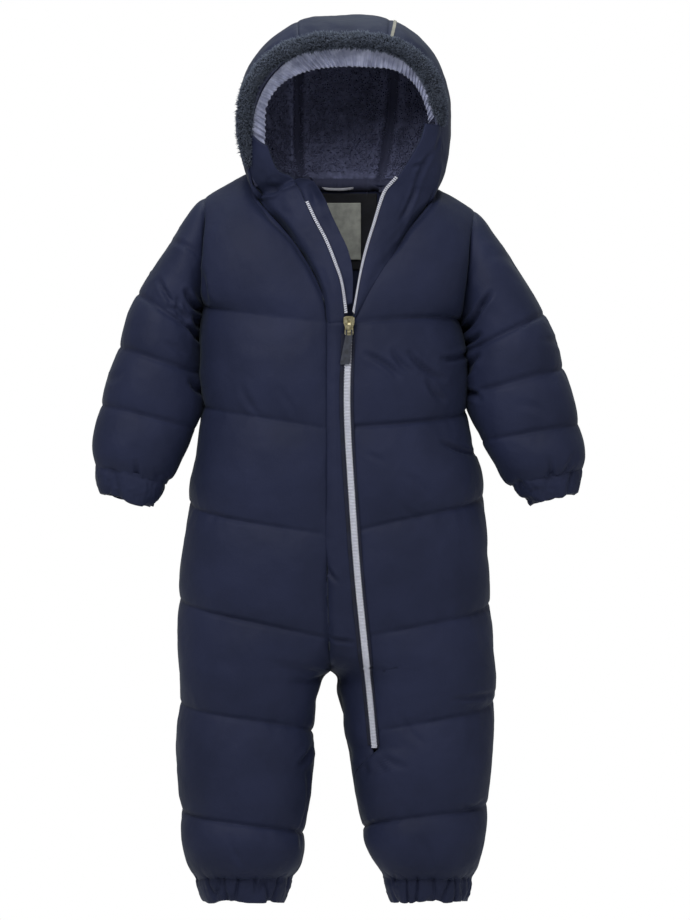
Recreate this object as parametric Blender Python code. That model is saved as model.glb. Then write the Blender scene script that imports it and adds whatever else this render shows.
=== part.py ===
"""A baby's padded one-piece snowsuit with a fur-trimmed hood, filled out as if worn, with no wearer.

Sizes are in millimetres and become metres when a mesh is made. +Z is up, -Y is the front and +X is the
wearer's left. The origin is between the shoulders, at the base of the neck, where a wearer carries the suit.
Each piece of cloth is a closed wall: a plain inside, and an outside that swells between the stitched lines.
"""

import math
from collections import namedtuple

import bpy
import numpy as np

MM = 0.001
GAP = 0.3  # between pieces at a seam
WALL = 3.0  # padded cloth where it is stitched flat
THIN_WALL = 2.2  # unpadded cloth: hood, collar and cuffs
FUR_WALL = 4.0  # hood lining with its pile
TINY_SHARE = 0.004  # steps along a surface when its direction is worked out
TINY_STATION = 0.02
TINY_MM = 1.0
CURVE_STEPS = 64  # steps along a section before it is shared out evenly

RIGHT, LEFT = -1, 1  # the wearer's sides, as the sign of X
FRONT, BACK = -1, 1  # as the sign of Y

# ---- body and legs -------------------------------------------------------------------------------
# Level sections of each half of the body: x of the side seam, x of the section's centre, depth in front of
# it and behind it, and the power of its rounded outline. The two halves meet on the centre seam, and the
# centres move apart below the hips, which folds the centre seam in and parts the legs.
Section = namedtuple("Section", "z side centre front back power")
SECTIONS = {
    RIGHT: (
        Section(-100, -136.5, -14.0, 85, 80, 2.7),
        Section(-129, -137.0, -14.0, 88, 81, 2.7),
        Section(-165, -136.5, -14.0, 91, 82, 2.7),
        Section(-222, -138.5, -14.0, 93, 84, 2.7),
        Section(-255, -141.0, -14.0, 94, 87, 2.7),
        Section(-295, -149.0, -14.5, 94, 92, 2.65),
        Section(-365, -156.0, -16.5, 92, 98, 2.6),
        Section(-405, -161.0, -27.0, 89, 99, 2.5),
        Section(-440, -160.0, -50.0, 85, 95, 2.4),
        Section(-458, -159.0, -69.0, 81, 90, 2.35),
        Section(-471, -158.5, -85.5, 78, 86, 2.3),
        Section(-500, -159.5, -92.5, 74, 80, 2.25),
        Section(-545, -161.5, -94.5, 71, 75, 2.2),
        Section(-605, -160.5, -96.5, 67, 71, 2.2),
        Section(-650, -156.0, -97.0, 62, 66, 2.2),
        Section(-672, -150.0, -96.5, 55, 58, 2.2),
        Section(-684, -144.5, -97.0, 48, 50, 2.2),
    ),
    LEFT: (
        Section(-100, 116.5, -14.0, 85, 80, 2.7),
        Section(-129, 118.5, -14.0, 88, 81, 2.7),
        Section(-165, 121.0, -14.0, 91, 82, 2.7),
        Section(-222, 125.0, -14.0, 93, 84, 2.7),
        Section(-255, 129.0, -14.0, 94, 87, 2.7),
        Section(-295, 140.0, -14.0, 94, 92, 2.65),
        Section(-365, 144.5, -13.5, 92, 98, 2.6),
        Section(-405, 148.0, -3.0, 89, 99, 2.5),
        Section(-440, 149.0, 25.0, 85, 95, 2.4),
        Section(-458, 150.0, 49.0, 81, 90, 2.35),
        Section(-471, 151.5, 70.0, 78, 86, 2.3),
        Section(-500, 153.5, 76.0, 74, 80, 2.25),
        Section(-545, 151.0, 78.5, 71, 75, 2.2),
        Section(-605, 146.5, 81.5, 67, 71, 2.2),
        Section(-650, 141.0, 83.5, 62, 66, 2.2),
        Section(-672, 135.0, 85.5, 55, 58, 2.2),
        Section(-684, 129.5, 86.0, 48, 50, 2.2),
    ),
}
Middle = namedtuple("Middle", "z x")
CENTRE_SEAM = (Middle(-100, -14), Middle(-300, -14), Middle(-400, -13), Middle(-471, -11),
               Middle(-690, -11))
CROTCH_Z = -471

# Stitched lines round the body and the legs: each falls from the side seam to the centre.
Stitch = namedtuple("Stitch", "side centre")
STITCHES = {
    RIGHT: (
        Stitch(-108, -129),
        Stitch(-209, -234),
        Stitch(-305, -339),
        Stitch(-402, -443),
        Stitch(-505, -536),
        Stitch(-613, -638),
        Stitch(-684, -684),
    ),
    LEFT: (
        Stitch(-127, -129),
        Stitch(-214, -232),
        Stitch(-300, -335),
        Stitch(-407, -440),
        Stitch(-503, -535),
        Stitch(-608, -633),
        Stitch(-684, -684),
    ),
}
# Rows between two stitched lines, as shares of the way down. They are closer where the legs part, and on
# the left where the strip beside the zip runs out into the inseam.
PLAIN_ROWS = (0.0, 0.13, 0.5, 0.87)
CROTCH_ROWS = (0.0, 0.13, 0.3, 0.42, 0.64, 0.87)
STRIP_END_ROWS = (0.0, 0.11, 0.19, 0.22, 0.45, 0.70, 0.72, 0.87)
CHANNEL_ROWS = {
    RIGHT: (PLAIN_ROWS, PLAIN_ROWS, PLAIN_ROWS, CROTCH_ROWS, PLAIN_ROWS, PLAIN_ROWS),
    LEFT: (PLAIN_ROWS, PLAIN_ROWS, PLAIN_ROWS, CROTCH_ROWS, STRIP_END_ROWS, PLAIN_ROWS),
}
CHANNEL_POWER = 2.4  # how square a padded channel is
BODY_SWELL = 8.0  # height of a padded channel over its stitches
STRIP_SWELL = 3.0
SIDE_FLOOR = 0.22  # share of the swelling that is left on a side seam
SEAM_FADE = 17.0  # distance over which the swelling rises from a seam
PANEL_COLUMNS = 10
STRIP_COLUMNS = 4

# The zip runs down from the slider into the left leg. Below its end the strip narrows into the inseam.
ZIP_LINE = (Middle(-100, 8), Middle(-129, 8), Middle(-205, 6), Middle(-305, 11), Middle(-380, 16.5),
            Middle(-445, 23), Middle(-500, 29), Middle(-560, 34.5))
ZIP_TOP_Z, ZIP_END_Z, STRIP_END_Z = -132.0, -553.0, -604.5
ZIP_HALF_GAP = 4.0
ZIP_CLOSING = (-556.5, -553.7)  # heights between which the gap for the zip closes to a seam
STRIP_TIP = 1.6

# ---- yoke: from the first stitched line up to the shoulder ---------------------------------------
# Stations run from the shoulder seam (0) to the first stitched line (9).
YOKE_ROWS = 9
Point = namedtuple("Point", "x y z")
NECKLINE_FRONT = {
    RIGHT: (Point(-86, 6, 26), Point(-89, -10, 19), Point(-89, -28, 8), Point(-83, -44, -5),
            Point(-70, -57, -20), Point(-54, -67, -38), Point(-39, -75, -59), Point(-26, -81, -82),
            Point(-17, -86, -105), Point(-14, -88, -129)),
    LEFT: (Point(91, 6, 9), Point(94.5, -10, 5), Point(95, -26, 0), Point(91.5, -41, -6.5),
           Point(82, -53, -18), Point(69, -63, -34), Point(57, -71, -53), Point(43, -78, -73),
           Point(28, -84, -98), Point(13, -88, -129)),
}
NECKLINE_BACK = {
    RIGHT: (Point(-86, 6, 26), Point(-74, 34, 20), Point(-50, 54.5, 14.5), Point(-30, 62.5, 12),
            Point(-14, 65.5, 10.5), Point(-14, 70.5, -22), Point(-14, 74, -49), Point(-14, 77, -76),
            Point(-14, 79.5, -103), Point(-14, 81, -129)),
    LEFT: (Point(91, 6, 9), Point(81, 34, 9), Point(56, 54.5, 8), Point(26, 63.5, 8.8),
           Point(-14, 65.5, 10.5), Point(-14, 70.5, -22), Point(-14, 74, -49), Point(-14, 77, -76),
           Point(-14, 79.5, -103), Point(-14, 81, -129)),
}
# Rows of the yoke run straight over the shoulder and turn round the chest lower down.
Bend = namedtuple("Bend", "station power")
YOKE_BEND = (Bend(0, 1.0), Bend(1, 1.0), Bend(2, 1.2), Bend(3, 1.7), Bend(4, 2.1), Bend(5, 2.5),
             Bend(9, 2.5))

# ---- sleeves -------------------------------------------------------------------------------------
# Rings from the armhole to the cuff seam: the outer and the under edge, how far forward, and half the depth.
Ring = namedtuple("Ring", "outer_x outer_z under_x under_z y depth")
SLEEVES = {
    RIGHT: (
        Ring(-136.5, -3, -136.5, -108, 0, 40),
        Ring(-145.0, -12, -139.5, -109.5, 0, 42),
        Ring(-156.5, -28, -141.8, -113, -1, 45),
        Ring(-170.0, -50, -142.5, -120, -3, 48),
        Ring(-202.5, -99, -143.0, -139, -8, 50),
        Ring(-221.0, -152, -144.0, -178, -13, 50),
        Ring(-239.0, -210, -146.5, -233, -19, 46),
        Ring(-246.0, -248, -160.0, -266, -24, 41),
        Ring(-244.0, -273, -175.0, -289, -27, 32),
    ),
    LEFT: (
        Ring(133.5, -16, 117.5, -127, 0, 40),
        Ring(141.5, -26, 121.8, -128.5, 0, 42),
        Ring(151.5, -41, 124.4, -132, -1, 45),
        Ring(168.0, -64, 125.6, -139, -3, 48),
        Ring(203.0, -119, 127.5, -156, -8, 50),
        Ring(221.5, -173, 129.0, -199, -13, 50),
        Ring(237.0, -229, 141.0, -246, -19, 46),
        Ring(241.5, -256, 156.0, -271, -24, 41),
        Ring(241.5, -274, 170.0, -290, -27, 32),
    ),
}
SLEEVE_STITCHES = (0, 4, 5, 6, 8)  # rings on which a stitched line lies
SLEEVE_ROWS = (0.0, 0.5, 1.0, 1.6, 2.3, 3.1, 3.7, 4.0, 4.16, 4.5, 4.84, 5.0, 5.16, 5.5, 5.84, 6.0, 6.25,
               6.9, 7.6, 8.0)
SLEEVE_COLUMNS = 2 * YOKE_ROWS  # so that the sleeve's corners meet the armhole's
SLEEVE_SWELL = 5.0
SLEEVE_POWER = 2.2
ARMHOLE_INSET = 0.6  # the sleeve's end lies just off the armhole's edge and inside it

# ---- cuffs ---------------------------------------------------------------------------------------
Cuff = namedtuple("Cuff", "gathers wave hem_wave swell")
SLEEVE_CUFF = Cuff(14, 1.1, 1.5, 2.0)
LEG_CUFF = Cuff(20, 1.0, 1.4, 2.0)
COLUMNS_PER_GATHER = 2
SLEEVE_HEM = {
    RIGHT: Ring(-243.5, -293, -187.0, -311, -29, 28),
    LEFT: Ring(243.5, -291, 191.5, -309, -29, 28),
}
LegHem = namedtuple("LegHem", "side centre front back z")
LEG_HEM = {RIGHT: LegHem(-138, -97, 45, 46, -706), LEFT: LegHem(126, 87, 45, 46, -706)}

# ---- hood ----------------------------------------------------------------------------------------
# Arches over the hood from the face opening (first) to the nape (last). Each springs from the neckline on
# the right and on the left and passes over the crown line at y, z; reach is its widest half-width.
HOOD_MIDDLE_X = 2.5
HOOD_POWER = {RIGHT: 2.2, LEFT: 2.5}
Arch = namedtuple("Arch", "right left crown_y crown_z reach panel")
ARCHES = (
    Arch(NECKLINE_FRONT[RIGHT][3], NECKLINE_FRONT[LEFT][3], -62, 155, 98.5, 44),
    Arch(NECKLINE_FRONT[RIGHT][2], NECKLINE_FRONT[LEFT][2], -32, 174, 105.5, 45),
    Arch(NECKLINE_FRONT[RIGHT][1], NECKLINE_FRONT[LEFT][1], 14, 181.0, 107.0, 46),
    Arch(NECKLINE_FRONT[RIGHT][0], NECKLINE_FRONT[LEFT][0], 60, 160, 105.0, 46),
    Arch(NECKLINE_BACK[RIGHT][1], NECKLINE_BACK[LEFT][1], 92, 114, 98.0, 46),
    Arch(NECKLINE_BACK[RIGHT][2], NECKLINE_BACK[LEFT][2], 95, 64, 74.0, 42),
    Arch(NECKLINE_BACK[RIGHT][3], NECKLINE_BACK[LEFT][3], 66.0, 10.2, 33, 22),
)
HOOD_ROWS = 12
# Columns of the side pieces, as shares of the way from the neckline to the seam with the centre piece.
HOOD_SIDE_SHARES = {
    RIGHT: (0.0, 0.14, 0.30, 0.44, 0.58, 0.72, 0.86, 1.0),
    LEFT: (0.0, 0.14, 0.28, 0.37, 0.52, 0.68, 0.84, 1.0),
}
HOOD_CENTRE_COLUMNS = 5
HOOD_LIFT = 0.7  # clearance of the hood's edge over the body's
LINING_LIFT = 0.6  # and as much more for the lining's
LINING_GAP = 0.6  # between the hood and its lining
NAPE_FAN = len(ARCHES) - 1.25  # the hood's wall keeps this arch's direction down to the nape

# Fur roll round the face opening: thickness across and along the roll's section, from the right end over
# the top to the left end. share is the place along the first arch.
Roll = namedtuple("Roll", "share across forward")
FUR_ROLL = (Roll(0.135, 3.5, 6.0), Roll(0.17, 6.5, 11), Roll(0.25, 8.5, 14), Roll(0.5, 9.5, 15),
            Roll(0.75, 8.5, 14), Roll(0.80, 6.5, 11), Roll(0.835, 3.5, 6.0))
FUR_ROLL_ROWS = 24
FUR_ROLL_SIDES = 8
FUR_ROLL_OFF = 0.1  # ahead of the hood's edge

# Gathered band inside the roll: its visible width from end to end.
Band = namedtuple("Band", "share width")
GATHERED_BAND = (Band(0.17, 3.0), Band(0.22, 13.0), Band(0.35, 16.0), Band(0.5, 16.0), Band(0.62, 13.0),
                 Band(0.70, 8.0), Band(0.80, 3.0))
BAND_GATHERS = 30
BAND_THICK = 2.0
BAND_WAVE = 0.8
BAND_INSET = 7.2  # the band's outer edge is sewn just inside the lining
BAND_HIDDEN = 1.6  # width that stays behind the fur
BAND_BEHIND, BAND_SLOPE = 1.0, 4.6

# ---- collar: from the neckline to the free edge that carries the zip -----------------------------
# One point of the free edge for each station: some up the hood's edge, then the neckline's stations 3 to 9.
HOOD_STATIONS = {RIGHT: (2, 1), LEFT: (3, 2, 1)}  # columns of the hood's side pieces, from the top
COLLAR_EDGE = {
    RIGHT: (Point(-75, -68, 47), Point(-64, -66, 21), Point(-45, -64, 9),
            Point(-36, -68, -8), Point(-27, -74, -27), Point(-17, -79.5, -46), Point(-8, -84.5, -68),
            Point(-0.5, -88, -91), Point(4.0, -90.5, -127.6)),
    LEFT: (Point(85, -69, 70), Point(80, -70, 54), Point(69, -69, 34), Point(57, -67, 16),
           Point(46, -68, 3), Point(40, -72, -12), Point(34.5, -76, -30), Point(27, -80.5, -54),
           Point(20, -85, -82), Point(13.2, -88.5, -120.5)),
}
COLLAR_FOOT = (14.6, -87.8, -123.0)  # the left collar's seam ends here, beside the slider
COLLAR_COLUMNS = 5
COLLAR_SWELL = 3.0
COLLAR_FULL_WIDTH = 30.0

# ---- small pieces --------------------------------------------------------------------------------
CHAIN_WIDTH = 7.2
CHAIN_RISE = 1.2
CHAIN_SHOULDER = 0.6
ZIP_TOP_STATION = {RIGHT: 1, LEFT: 0}  # counted from the foot of the hood's edge
BRANCH_WIDTH = 3.8
BRANCH_THICK = 2.4
BRANCH_SHORT = {RIGHT: 0.18, LEFT: 0.0}  # share of the last station that is left to the slider
Slider = namedtuple("Slider", "z half_width")
SLIDER_OUTLINE = (Slider(-122.0, 3.2), Slider(-123.5, 5.4), Slider(-129.0, 5.4), Slider(-133.0, 4.0),
                  Slider(-139.5, 4.4), Slider(-141.0, 3.4))
SLIDER_X = 8.0
SLIDER_Y = -93.9  # front of the slider's plate
SLIDER_THICK = 3.0
BAIL_WIDTH = 3.2
BAIL_TOP_Z, BAIL_END_Z = -128.0, -139.0
BAIL_RISE = 4.0
BAIL_BAR = 1.3
BAIL_POWER = 4.0
BAIL_SINK = 0.8
# The pull is one plate: a ring on the bail that widens into the tab. Each row gives the outline and the hole
# beside it, down from the axis.
Pull = namedtuple("Pull", "down half_width shift hole_down hole_half")
PULL_OUTLINE = (
    Pull(-0.6, 3.3, 0.0, 0.6, 2.1),
    Pull(5.0, 3.4, 0.0, 4.6, 2.1),
    Pull(19.0, 4.3, -2.0, 5.0, 1.4),
    Pull(32.0, 5.0, -3.8, 5.0, 0.7),
    Pull(34.0, 4.2, -4.1, 5.0, 0.25),
)
PULL_THICK = 1.6
PULL_AXIS = Point(SLIDER_X, SLIDER_Y - 1.3, -136.1)
PULL_LEAN = math.radians(-2.5)  # the tab hangs until its end lies on the cloth
LABEL_X = (-15.0, 20.0)
LABEL_Z = (-7.0, -64.0)
LABEL_THICK = 0.8
LABEL_CLEAR = 0.7
LOOP_X = (-20.0, 12.0)
LOOP_Z = 1.5
LOOP_HEIGHT = 3.0
LOOP_THICK = 1.4
LOOP_RISE = 2.2
FACING_X = (-44.0, 36.0)
FACING_Z = (2.5, -74.0)
FACING_NEAR = WALL + 1.1
FACING_THICK = 1.2
Flap = namedtuple("Flap", "width back")
FLAP = (Flap(19, 5.0), Flap(21, 5.5), Flap(21, 6.0), Flap(18, 6.0), Flap(10, 5.0))
FLAP_SEAM, FLAP_THICK = THIN_WALL + 0.35, 1.6  # its sewn edge lies on the collar's inside
HOOD_TAB_SHARE, HOOD_TAB_FANS = 0.598, (0.5, 2.0)
HOOD_TAB_WIDTH, HOOD_TAB_THICK = 3.0, 1.0
HOOD_TAB_LIFT = 0.1  # clearance over the shell's facets

Look = namedtuple("Look", "name colour roughness metallic")
NAVY = Look("navy_shell", (0.022, 0.025, 0.050, 1), 0.75, 0.0)
FUR = Look("navy_fur", (0.018, 0.020, 0.038, 1), 0.95, 0.0)
PALE = Look("pale_band", (0.36, 0.36, 0.45, 1), 0.7, 0.0)
CHAIN = Look("zip_chain", (0.38, 0.38, 0.46, 1), 0.5, 0.0)
BRASS = Look("slider_brass", (0.45, 0.38, 0.22, 1), 0.3, 1.0)
DARK = Look("pull_rubber", (0.04, 0.04, 0.05, 1), 0.6, 0.0)
LABEL = Look("label_cloth", (0.33, 0.34, 0.31, 1), 0.8, 0.0)
FACING = Look("facing_cloth", (0.006, 0.006, 0.010, 1), 0.8, 0.0)


# ---- curves --------------------------------------------------------------------------------------
def smooth(keys, values, at):
    """Values at the places given, on a smooth curve through the keys (a Hermite curve with mean slopes)."""
    keys = np.asarray(keys, float)
    values = np.asarray(values, float)
    if keys[0] > keys[-1]:
        keys, values = keys[::-1], values[::-1]
    steps = np.diff(keys)
    rises = np.diff(values, axis=0) / steps.reshape((-1,) + (1,) * (values.ndim - 1))
    slopes = np.empty_like(values)
    slopes[0], slopes[-1] = rises[0], rises[-1]
    before, after = steps[:-1], steps[1:]
    weight = (before / (before + after)).reshape((-1,) + (1,) * (values.ndim - 1))
    slopes[1:-1] = rises[:-1] * (1 - weight) + rises[1:] * weight
    at = np.clip(np.asarray(at, float), keys[0], keys[-1])
    place = np.clip(np.searchsorted(keys, at, side="right") - 1, 0, len(keys) - 2)
    width = steps[place]
    t = (at - keys[place]) / width
    if values.ndim > 1:
        t, width = t[..., None], width[..., None]
    start, end = values[place], values[place + 1]
    return (
        start * (2 * t**3 - 3 * t**2 + 1)
        + end * (3 * t**2 - 2 * t**3)
        + slopes[place] * width * (t**3 - 2 * t**2 + t)
        + slopes[place + 1] * width * (t**3 - t**2)
    )


def table(rows, key, name, at):
    return smooth([getattr(row, key) for row in rows], [getattr(row, name) for row in rows], at)


def power_of(value, power):
    return np.sign(value) * np.abs(value) ** (2 / power)


def share_out(points, share):
    """The point of each polyline (first axis) at the given share of its length."""
    lengths = np.linalg.norm(np.diff(points, axis=1), axis=2)
    along = np.concatenate([np.zeros((len(points), 1)), np.cumsum(lengths, axis=1)], axis=1)
    wanted = np.asarray(share) * along[:, -1]
    return np.array([
        [np.interp(place, run, line[:, k]) for k in range(points.shape[2])]
        for place, run, line in zip(wanted, along, points)
    ])


def unit(vectors):
    return vectors / np.maximum(np.linalg.norm(vectors, axis=-1, keepdims=True), 1e-9)


# ---- body surface --------------------------------------------------------------------------------
def centre_seam_x(z):
    return table(CENTRE_SEAM, "z", "x", z)


def section_lines(side, face, z):
    """Half sections at heights z, each from the centre seam or the inseam to the side seam."""
    rows = SECTIONS[side]
    edge, centre, power = (table(rows, "z", name, z)[:, None] for name in ("side", "centre", "power"))
    depth = table(rows, "z", "front" if face == FRONT else "back", z)[:, None]
    reach = np.abs(edge - centre)
    inward = side * (centre - centre_seam_x(z)[:, None])
    end = -np.arcsin(np.clip(inward / reach, 0, 1) ** (power / 2))
    turn = end + (math.pi / 2 - end) * np.linspace(0, 1, CURVE_STEPS)[None, :]
    x = centre + side * reach * power_of(np.sin(turn), power)
    y = face * depth * power_of(np.cos(turn), power)
    return np.stack([x, y, np.broadcast_to(z[:, None], x.shape)], axis=2)


def body_points(side, face, share, z):
    """Points of the body at heights z; share runs from the centre seam or inseam (0) to the side seam (1)."""
    share, z = np.broadcast_arrays(np.asarray(share, float), np.asarray(z, float))
    flat = share_out(section_lines(side, face, z.ravel()), share.ravel())
    return flat.reshape(z.shape + (3,))


def yoke_points(side, face, share, station):
    """Points of the yoke: share runs from the neckline (0) to the armhole (1)."""
    share, station = np.broadcast_arrays(np.asarray(share, float), np.asarray(station, float))
    shape, share, station = share.shape, share.ravel(), station.ravel()
    neck = np.array((NECKLINE_FRONT if face == FRONT else NECKLINE_BACK)[side], float)
    start = smooth(np.arange(YOKE_ROWS + 1), neck, station)
    end = armhole_points(side, face, station)
    turn = np.linspace(0, math.pi / 2, CURVE_STEPS)[None, :]
    power = table(YOKE_BEND, "station", "power", station)[:, None]
    over, down = power_of(np.sin(turn), power), power_of(np.cos(turn), power)
    x = start[:, :1] + (end[:, :1] - start[:, :1]) * over
    y = end[:, 1:2] + (start[:, 1:2] - end[:, 1:2]) * down
    flat = share_out(np.stack([x, y], axis=2), share)
    z = start[:, 2] + (end[:, 2] - start[:, 2]) * share
    return np.column_stack([flat, z]).reshape(shape + (3,))


def armhole_points(side, face, station):
    """The armhole's edge, the first ring of the sleeve, from the shoulder (0) to the underarm (9)."""
    return sleeve_points(side, np.zeros_like(station), face * math.pi * station / YOKE_ROWS)


# ---- sleeve surface ------------------------------------------------------------------------------
def ring_points(rings, place, turn, power):
    """Points on rings at the given places along a list of Ring; turn 0 is the outer edge, pi the under edge."""
    keys = np.arange(len(rings))
    outer_x, outer_z, under_x, under_z, y, depth = (
        smooth(keys, [getattr(ring, name) for ring in rings], place) for name in Ring._fields
    )
    along, across = power_of(np.cos(turn), power), power_of(np.sin(turn), power)
    x = (outer_x + under_x) / 2 + (outer_x - under_x) / 2 * along
    z = (outer_z + under_z) / 2 + (outer_z - under_z) / 2 * along
    return np.stack([x, y + depth * across, z], axis=-1)


def sleeve_points(side, place, turn):
    return ring_points(SLEEVES[side], place, turn, SLEEVE_POWER)


# ---- hood surface --------------------------------------------------------------------------------
def hood_points(side, angle_share, fan):
    """Points on one half of the hood: angle_share 0 is on the neckline and 1 on the crown line."""
    angle_share, fan = np.broadcast_arrays(np.asarray(angle_share, float), np.asarray(fan, float))
    keys = np.arange(len(ARCHES))
    spring = smooth(keys, [arch.right if side == RIGHT else arch.left for arch in ARCHES], fan)
    crown_y = smooth(keys, [arch.crown_y for arch in ARCHES], fan)
    crown_z = smooth(keys, [arch.crown_z for arch in ARCHES], fan)
    reach = smooth(keys, [arch.reach for arch in ARCHES], fan)
    base = np.abs(spring[..., 0] - HOOD_MIDDLE_X)
    reach = np.maximum(reach, base * 1.002)
    below = np.arccos(base / reach)
    level = np.sin(below) / (1 + np.sin(below))
    turn = -below + (math.pi / 2 + below) * angle_share
    power = np.where(turn > 0, HOOD_POWER[side], 2.0)
    rise = level + (1 - level) * power_of(np.sin(turn), power)
    return np.stack([
        HOOD_MIDDLE_X + side * reach * power_of(np.cos(turn), power),
        spring[..., 1] + (crown_y - spring[..., 1]) * rise,
        spring[..., 2] + (crown_z - spring[..., 2]) * rise,
    ], axis=-1)


def hood_seam_share(side, fan):
    """Where on each arch the seam between a side piece and the centre piece lies."""
    keys = np.arange(len(ARCHES))
    panel = smooth(keys, [arch.panel for arch in ARCHES], fan)
    shares = np.linspace(0, 1, CURVE_STEPS)
    found = []
    for width, place in zip(np.atleast_1d(panel), np.atleast_1d(fan)):
        out = np.abs(hood_points(side, shares, place)[..., 0] - HOOD_MIDDLE_X)
        widest = int(np.argmax(out))
        found.append(np.interp(-width, -out[widest:], shares[widest:]))
    return np.array(found)


# ---- walls ---------------------------------------------------------------------------------------
def directions(surface, first, second, steps, outward):
    """Unit normals of a surface given as a function of two parameters, worked out from close points."""
    step_a, step_b = steps
    along = surface(first + step_a, second) - surface(first - step_a, second)
    down = surface(first, second + step_b) - surface(first, second - step_b)
    return unit(outward * np.cross(along, down))


def cumulative(points):
    """Distance of each column from the first and from the last, along the rows."""
    steps = np.linalg.norm(np.diff(points, axis=1), axis=2)
    run = np.concatenate([np.zeros((len(points), 1)), np.cumsum(steps, axis=1)], axis=1)
    return run, run[:, -1:] - run


def rise_from(distance, fade=SEAM_FADE):
    return 1 - np.exp(-np.maximum(distance, 0) / fade)


def channel(way):
    """Swelling between two stitched lines, way 0 to 1."""
    return 1 - np.abs(2 * way - 1) ** CHANNEL_POWER


def make_object(name, vertices, faces, look, corner=55):
    mesh = bpy.data.meshes.new(name)
    mesh.from_pydata((np.asarray(vertices) * MM).tolist(), [], faces)
    mesh.validate()
    made = bpy.data.objects.new(name, mesh)
    bpy.context.scene.collection.objects.link(made)
    mesh.shade_smooth()
    mesh.set_sharp_from_angle(angle=math.radians(corner))
    mesh.materials.append(material(look))
    return made


def material(look):
    found = bpy.data.materials.get(look.name)
    if found:
        return found
    made = bpy.data.materials.new(look.name)
    made.use_nodes = True
    shader = made.node_tree.nodes["Principled BSDF"]
    shader.inputs["Base Color"].default_value = look.colour
    shader.inputs["Roughness"].default_value = look.roughness
    shader.inputs["Metallic"].default_value = look.metallic
    return made


def wall(name, outer, inner, look, ring=False):
    """A closed wall between two grids of points (rows, columns, 3). A ring's last column joins its first.

    Both faces are cut along the same diagonals, so that walls laid inside one another keep their distance.
    """
    rows, columns = outer.shape[:2]
    vertices = np.concatenate([outer.reshape(-1, 3), inner.reshape(-1, 3)])
    half = rows * columns
    spans = columns if ring else columns - 1

    def at(row, column, layer):
        return layer * half + row * columns + column % columns

    faces = []
    for row in range(rows - 1):
        for column in range(spans):
            corners = ((row, column), (row, column + 1), (row + 1, column + 1), (row + 1, column))
            for picked in ((0, 1, 2), (0, 2, 3)):
                faces.append([at(*corners[k], 0) for k in picked])
                faces.append([at(*corners[k], 1) for k in reversed(picked)])
    borders = [([(0, k) for k in range(spans + 1)], True)]
    borders.append(([(rows - 1, k) for k in range(spans + 1)], False))
    if not ring:
        borders.append(([(k, 0) for k in range(rows)], False))
        borders.append(([(k, columns - 1) for k in range(rows)], True))
    for border, turned in borders:
        for here, there in zip(border, border[1:]):
            near, far = (at(*here, 0), at(*here, 1)), (at(*there, 0), at(*there, 1))
            pair = [[near[0], far[0], far[1]], [near[0], far[1], near[1]]]
            faces += [face[::-1] for face in pair] if turned else pair
    if enclosed_volume(vertices, faces) < 0:
        faces = [face[::-1] for face in faces]
    return make_object(name, vertices, faces, look)


def enclosed_volume(vertices, faces):
    """Six times the volume inside the faces; negative when they are inside out."""
    total = 0.0
    for face in faces:
        first = vertices[face[0]]
        for second, third in zip(face[1:], face[2:]):
            total += float(first @ np.cross(vertices[second], vertices[third]))
    return total


def pull_in(points, rows=(0.0, 0.0), columns=(0.0, 0.0)):
    """Moves a grid's edge points in towards their neighbours, by millimetres at each end."""
    moved = points.copy()
    for axis, (start, end) in ((0, rows), (1, columns)):
        grid = np.moveaxis(moved, axis, 0)
        if start:
            grid[0] += start * unit(grid[1] - grid[0])
        if end:
            grid[-1] += end * unit(grid[-2] - grid[-1])
    return moved


# ---- body pieces ---------------------------------------------------------------------------------
def stitch_rows(side):
    """Rows down the body: height at the side, height at the centre and the way through the channel."""
    rows = []
    lines = STITCHES[side]
    for above, below, ways in zip(lines, lines[1:], CHANNEL_ROWS[side]):
        for way in ways:
            rows.append((above.side + (below.side - above.side) * way,
                         above.centre + (below.centre - above.centre) * way, way))
    rows.append((lines[-1].side, lines[-1].centre, 0.0))
    return np.array(rows)


def zip_share(z):
    """Where the zip line lies on the left front, as a share from the centre seam or the inseam, and the length
    that the shares divide. Below the zip the line runs straight across to the inseam."""
    shares = []
    for line, x in zip(section_lines(LEFT, FRONT, np.maximum(z, ZIP_END_Z)), table(ZIP_LINE, "z", "x", z)):
        run = np.concatenate([[0], np.cumsum(np.linalg.norm(np.diff(line, axis=0), axis=1))])
        shares.append(np.interp(x, line[:, 0], run) / run[-1])
    left = np.clip((z - STRIP_END_Z) / (ZIP_CLOSING[0] - STRIP_END_Z), 0, 1)
    lengths = np.linalg.norm(np.diff(section_lines(LEFT, FRONT, z), axis=1), axis=2).sum(axis=1)
    return np.array(shares) * left, lengths


def zip_edges(z):
    """Shares of the strip's edge and of the left front's edge at heights z."""
    share, length = zip_share(z)
    low, high = ZIP_CLOSING
    half = (GAP / 2 + (ZIP_HALF_GAP - GAP / 2) * np.clip((z - low) / (high - low), 0, 1)) / length
    strip = np.maximum(share - half, STRIP_TIP / length)
    front = np.where(z < STRIP_END_Z, 0.0, np.maximum(share + half, strip + GAP / length))
    return strip, front


def lower_grid(side, face, columns, low=None, high=None, last_row=None):
    """Points and normals of the body below the first stitched line. low and high give the edge shares."""
    rows = stitch_rows(side)[:last_row]
    across = np.linspace(0, 1, columns + 1)
    centre_z = rows[:, 1]
    first = np.zeros(len(rows)) if low is None else low(centre_z)
    last = np.ones(len(rows)) if high is None else high(centre_z)
    share = first[:, None] + (last - first)[:, None] * across
    sweep = across if high is None else np.zeros_like(across)
    z = rows[:, 1:2] + (rows[:, :1] - rows[:, 1:2]) * sweep
    points = body_points(side, face, share, z)
    normals = directions(
        lambda s, h: body_points(side, face, np.clip(s, 0, 1), h), share, z,
        (TINY_SHARE, -TINY_MM), face * side,
    )
    return points, normals, rows[:, 2]


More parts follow.
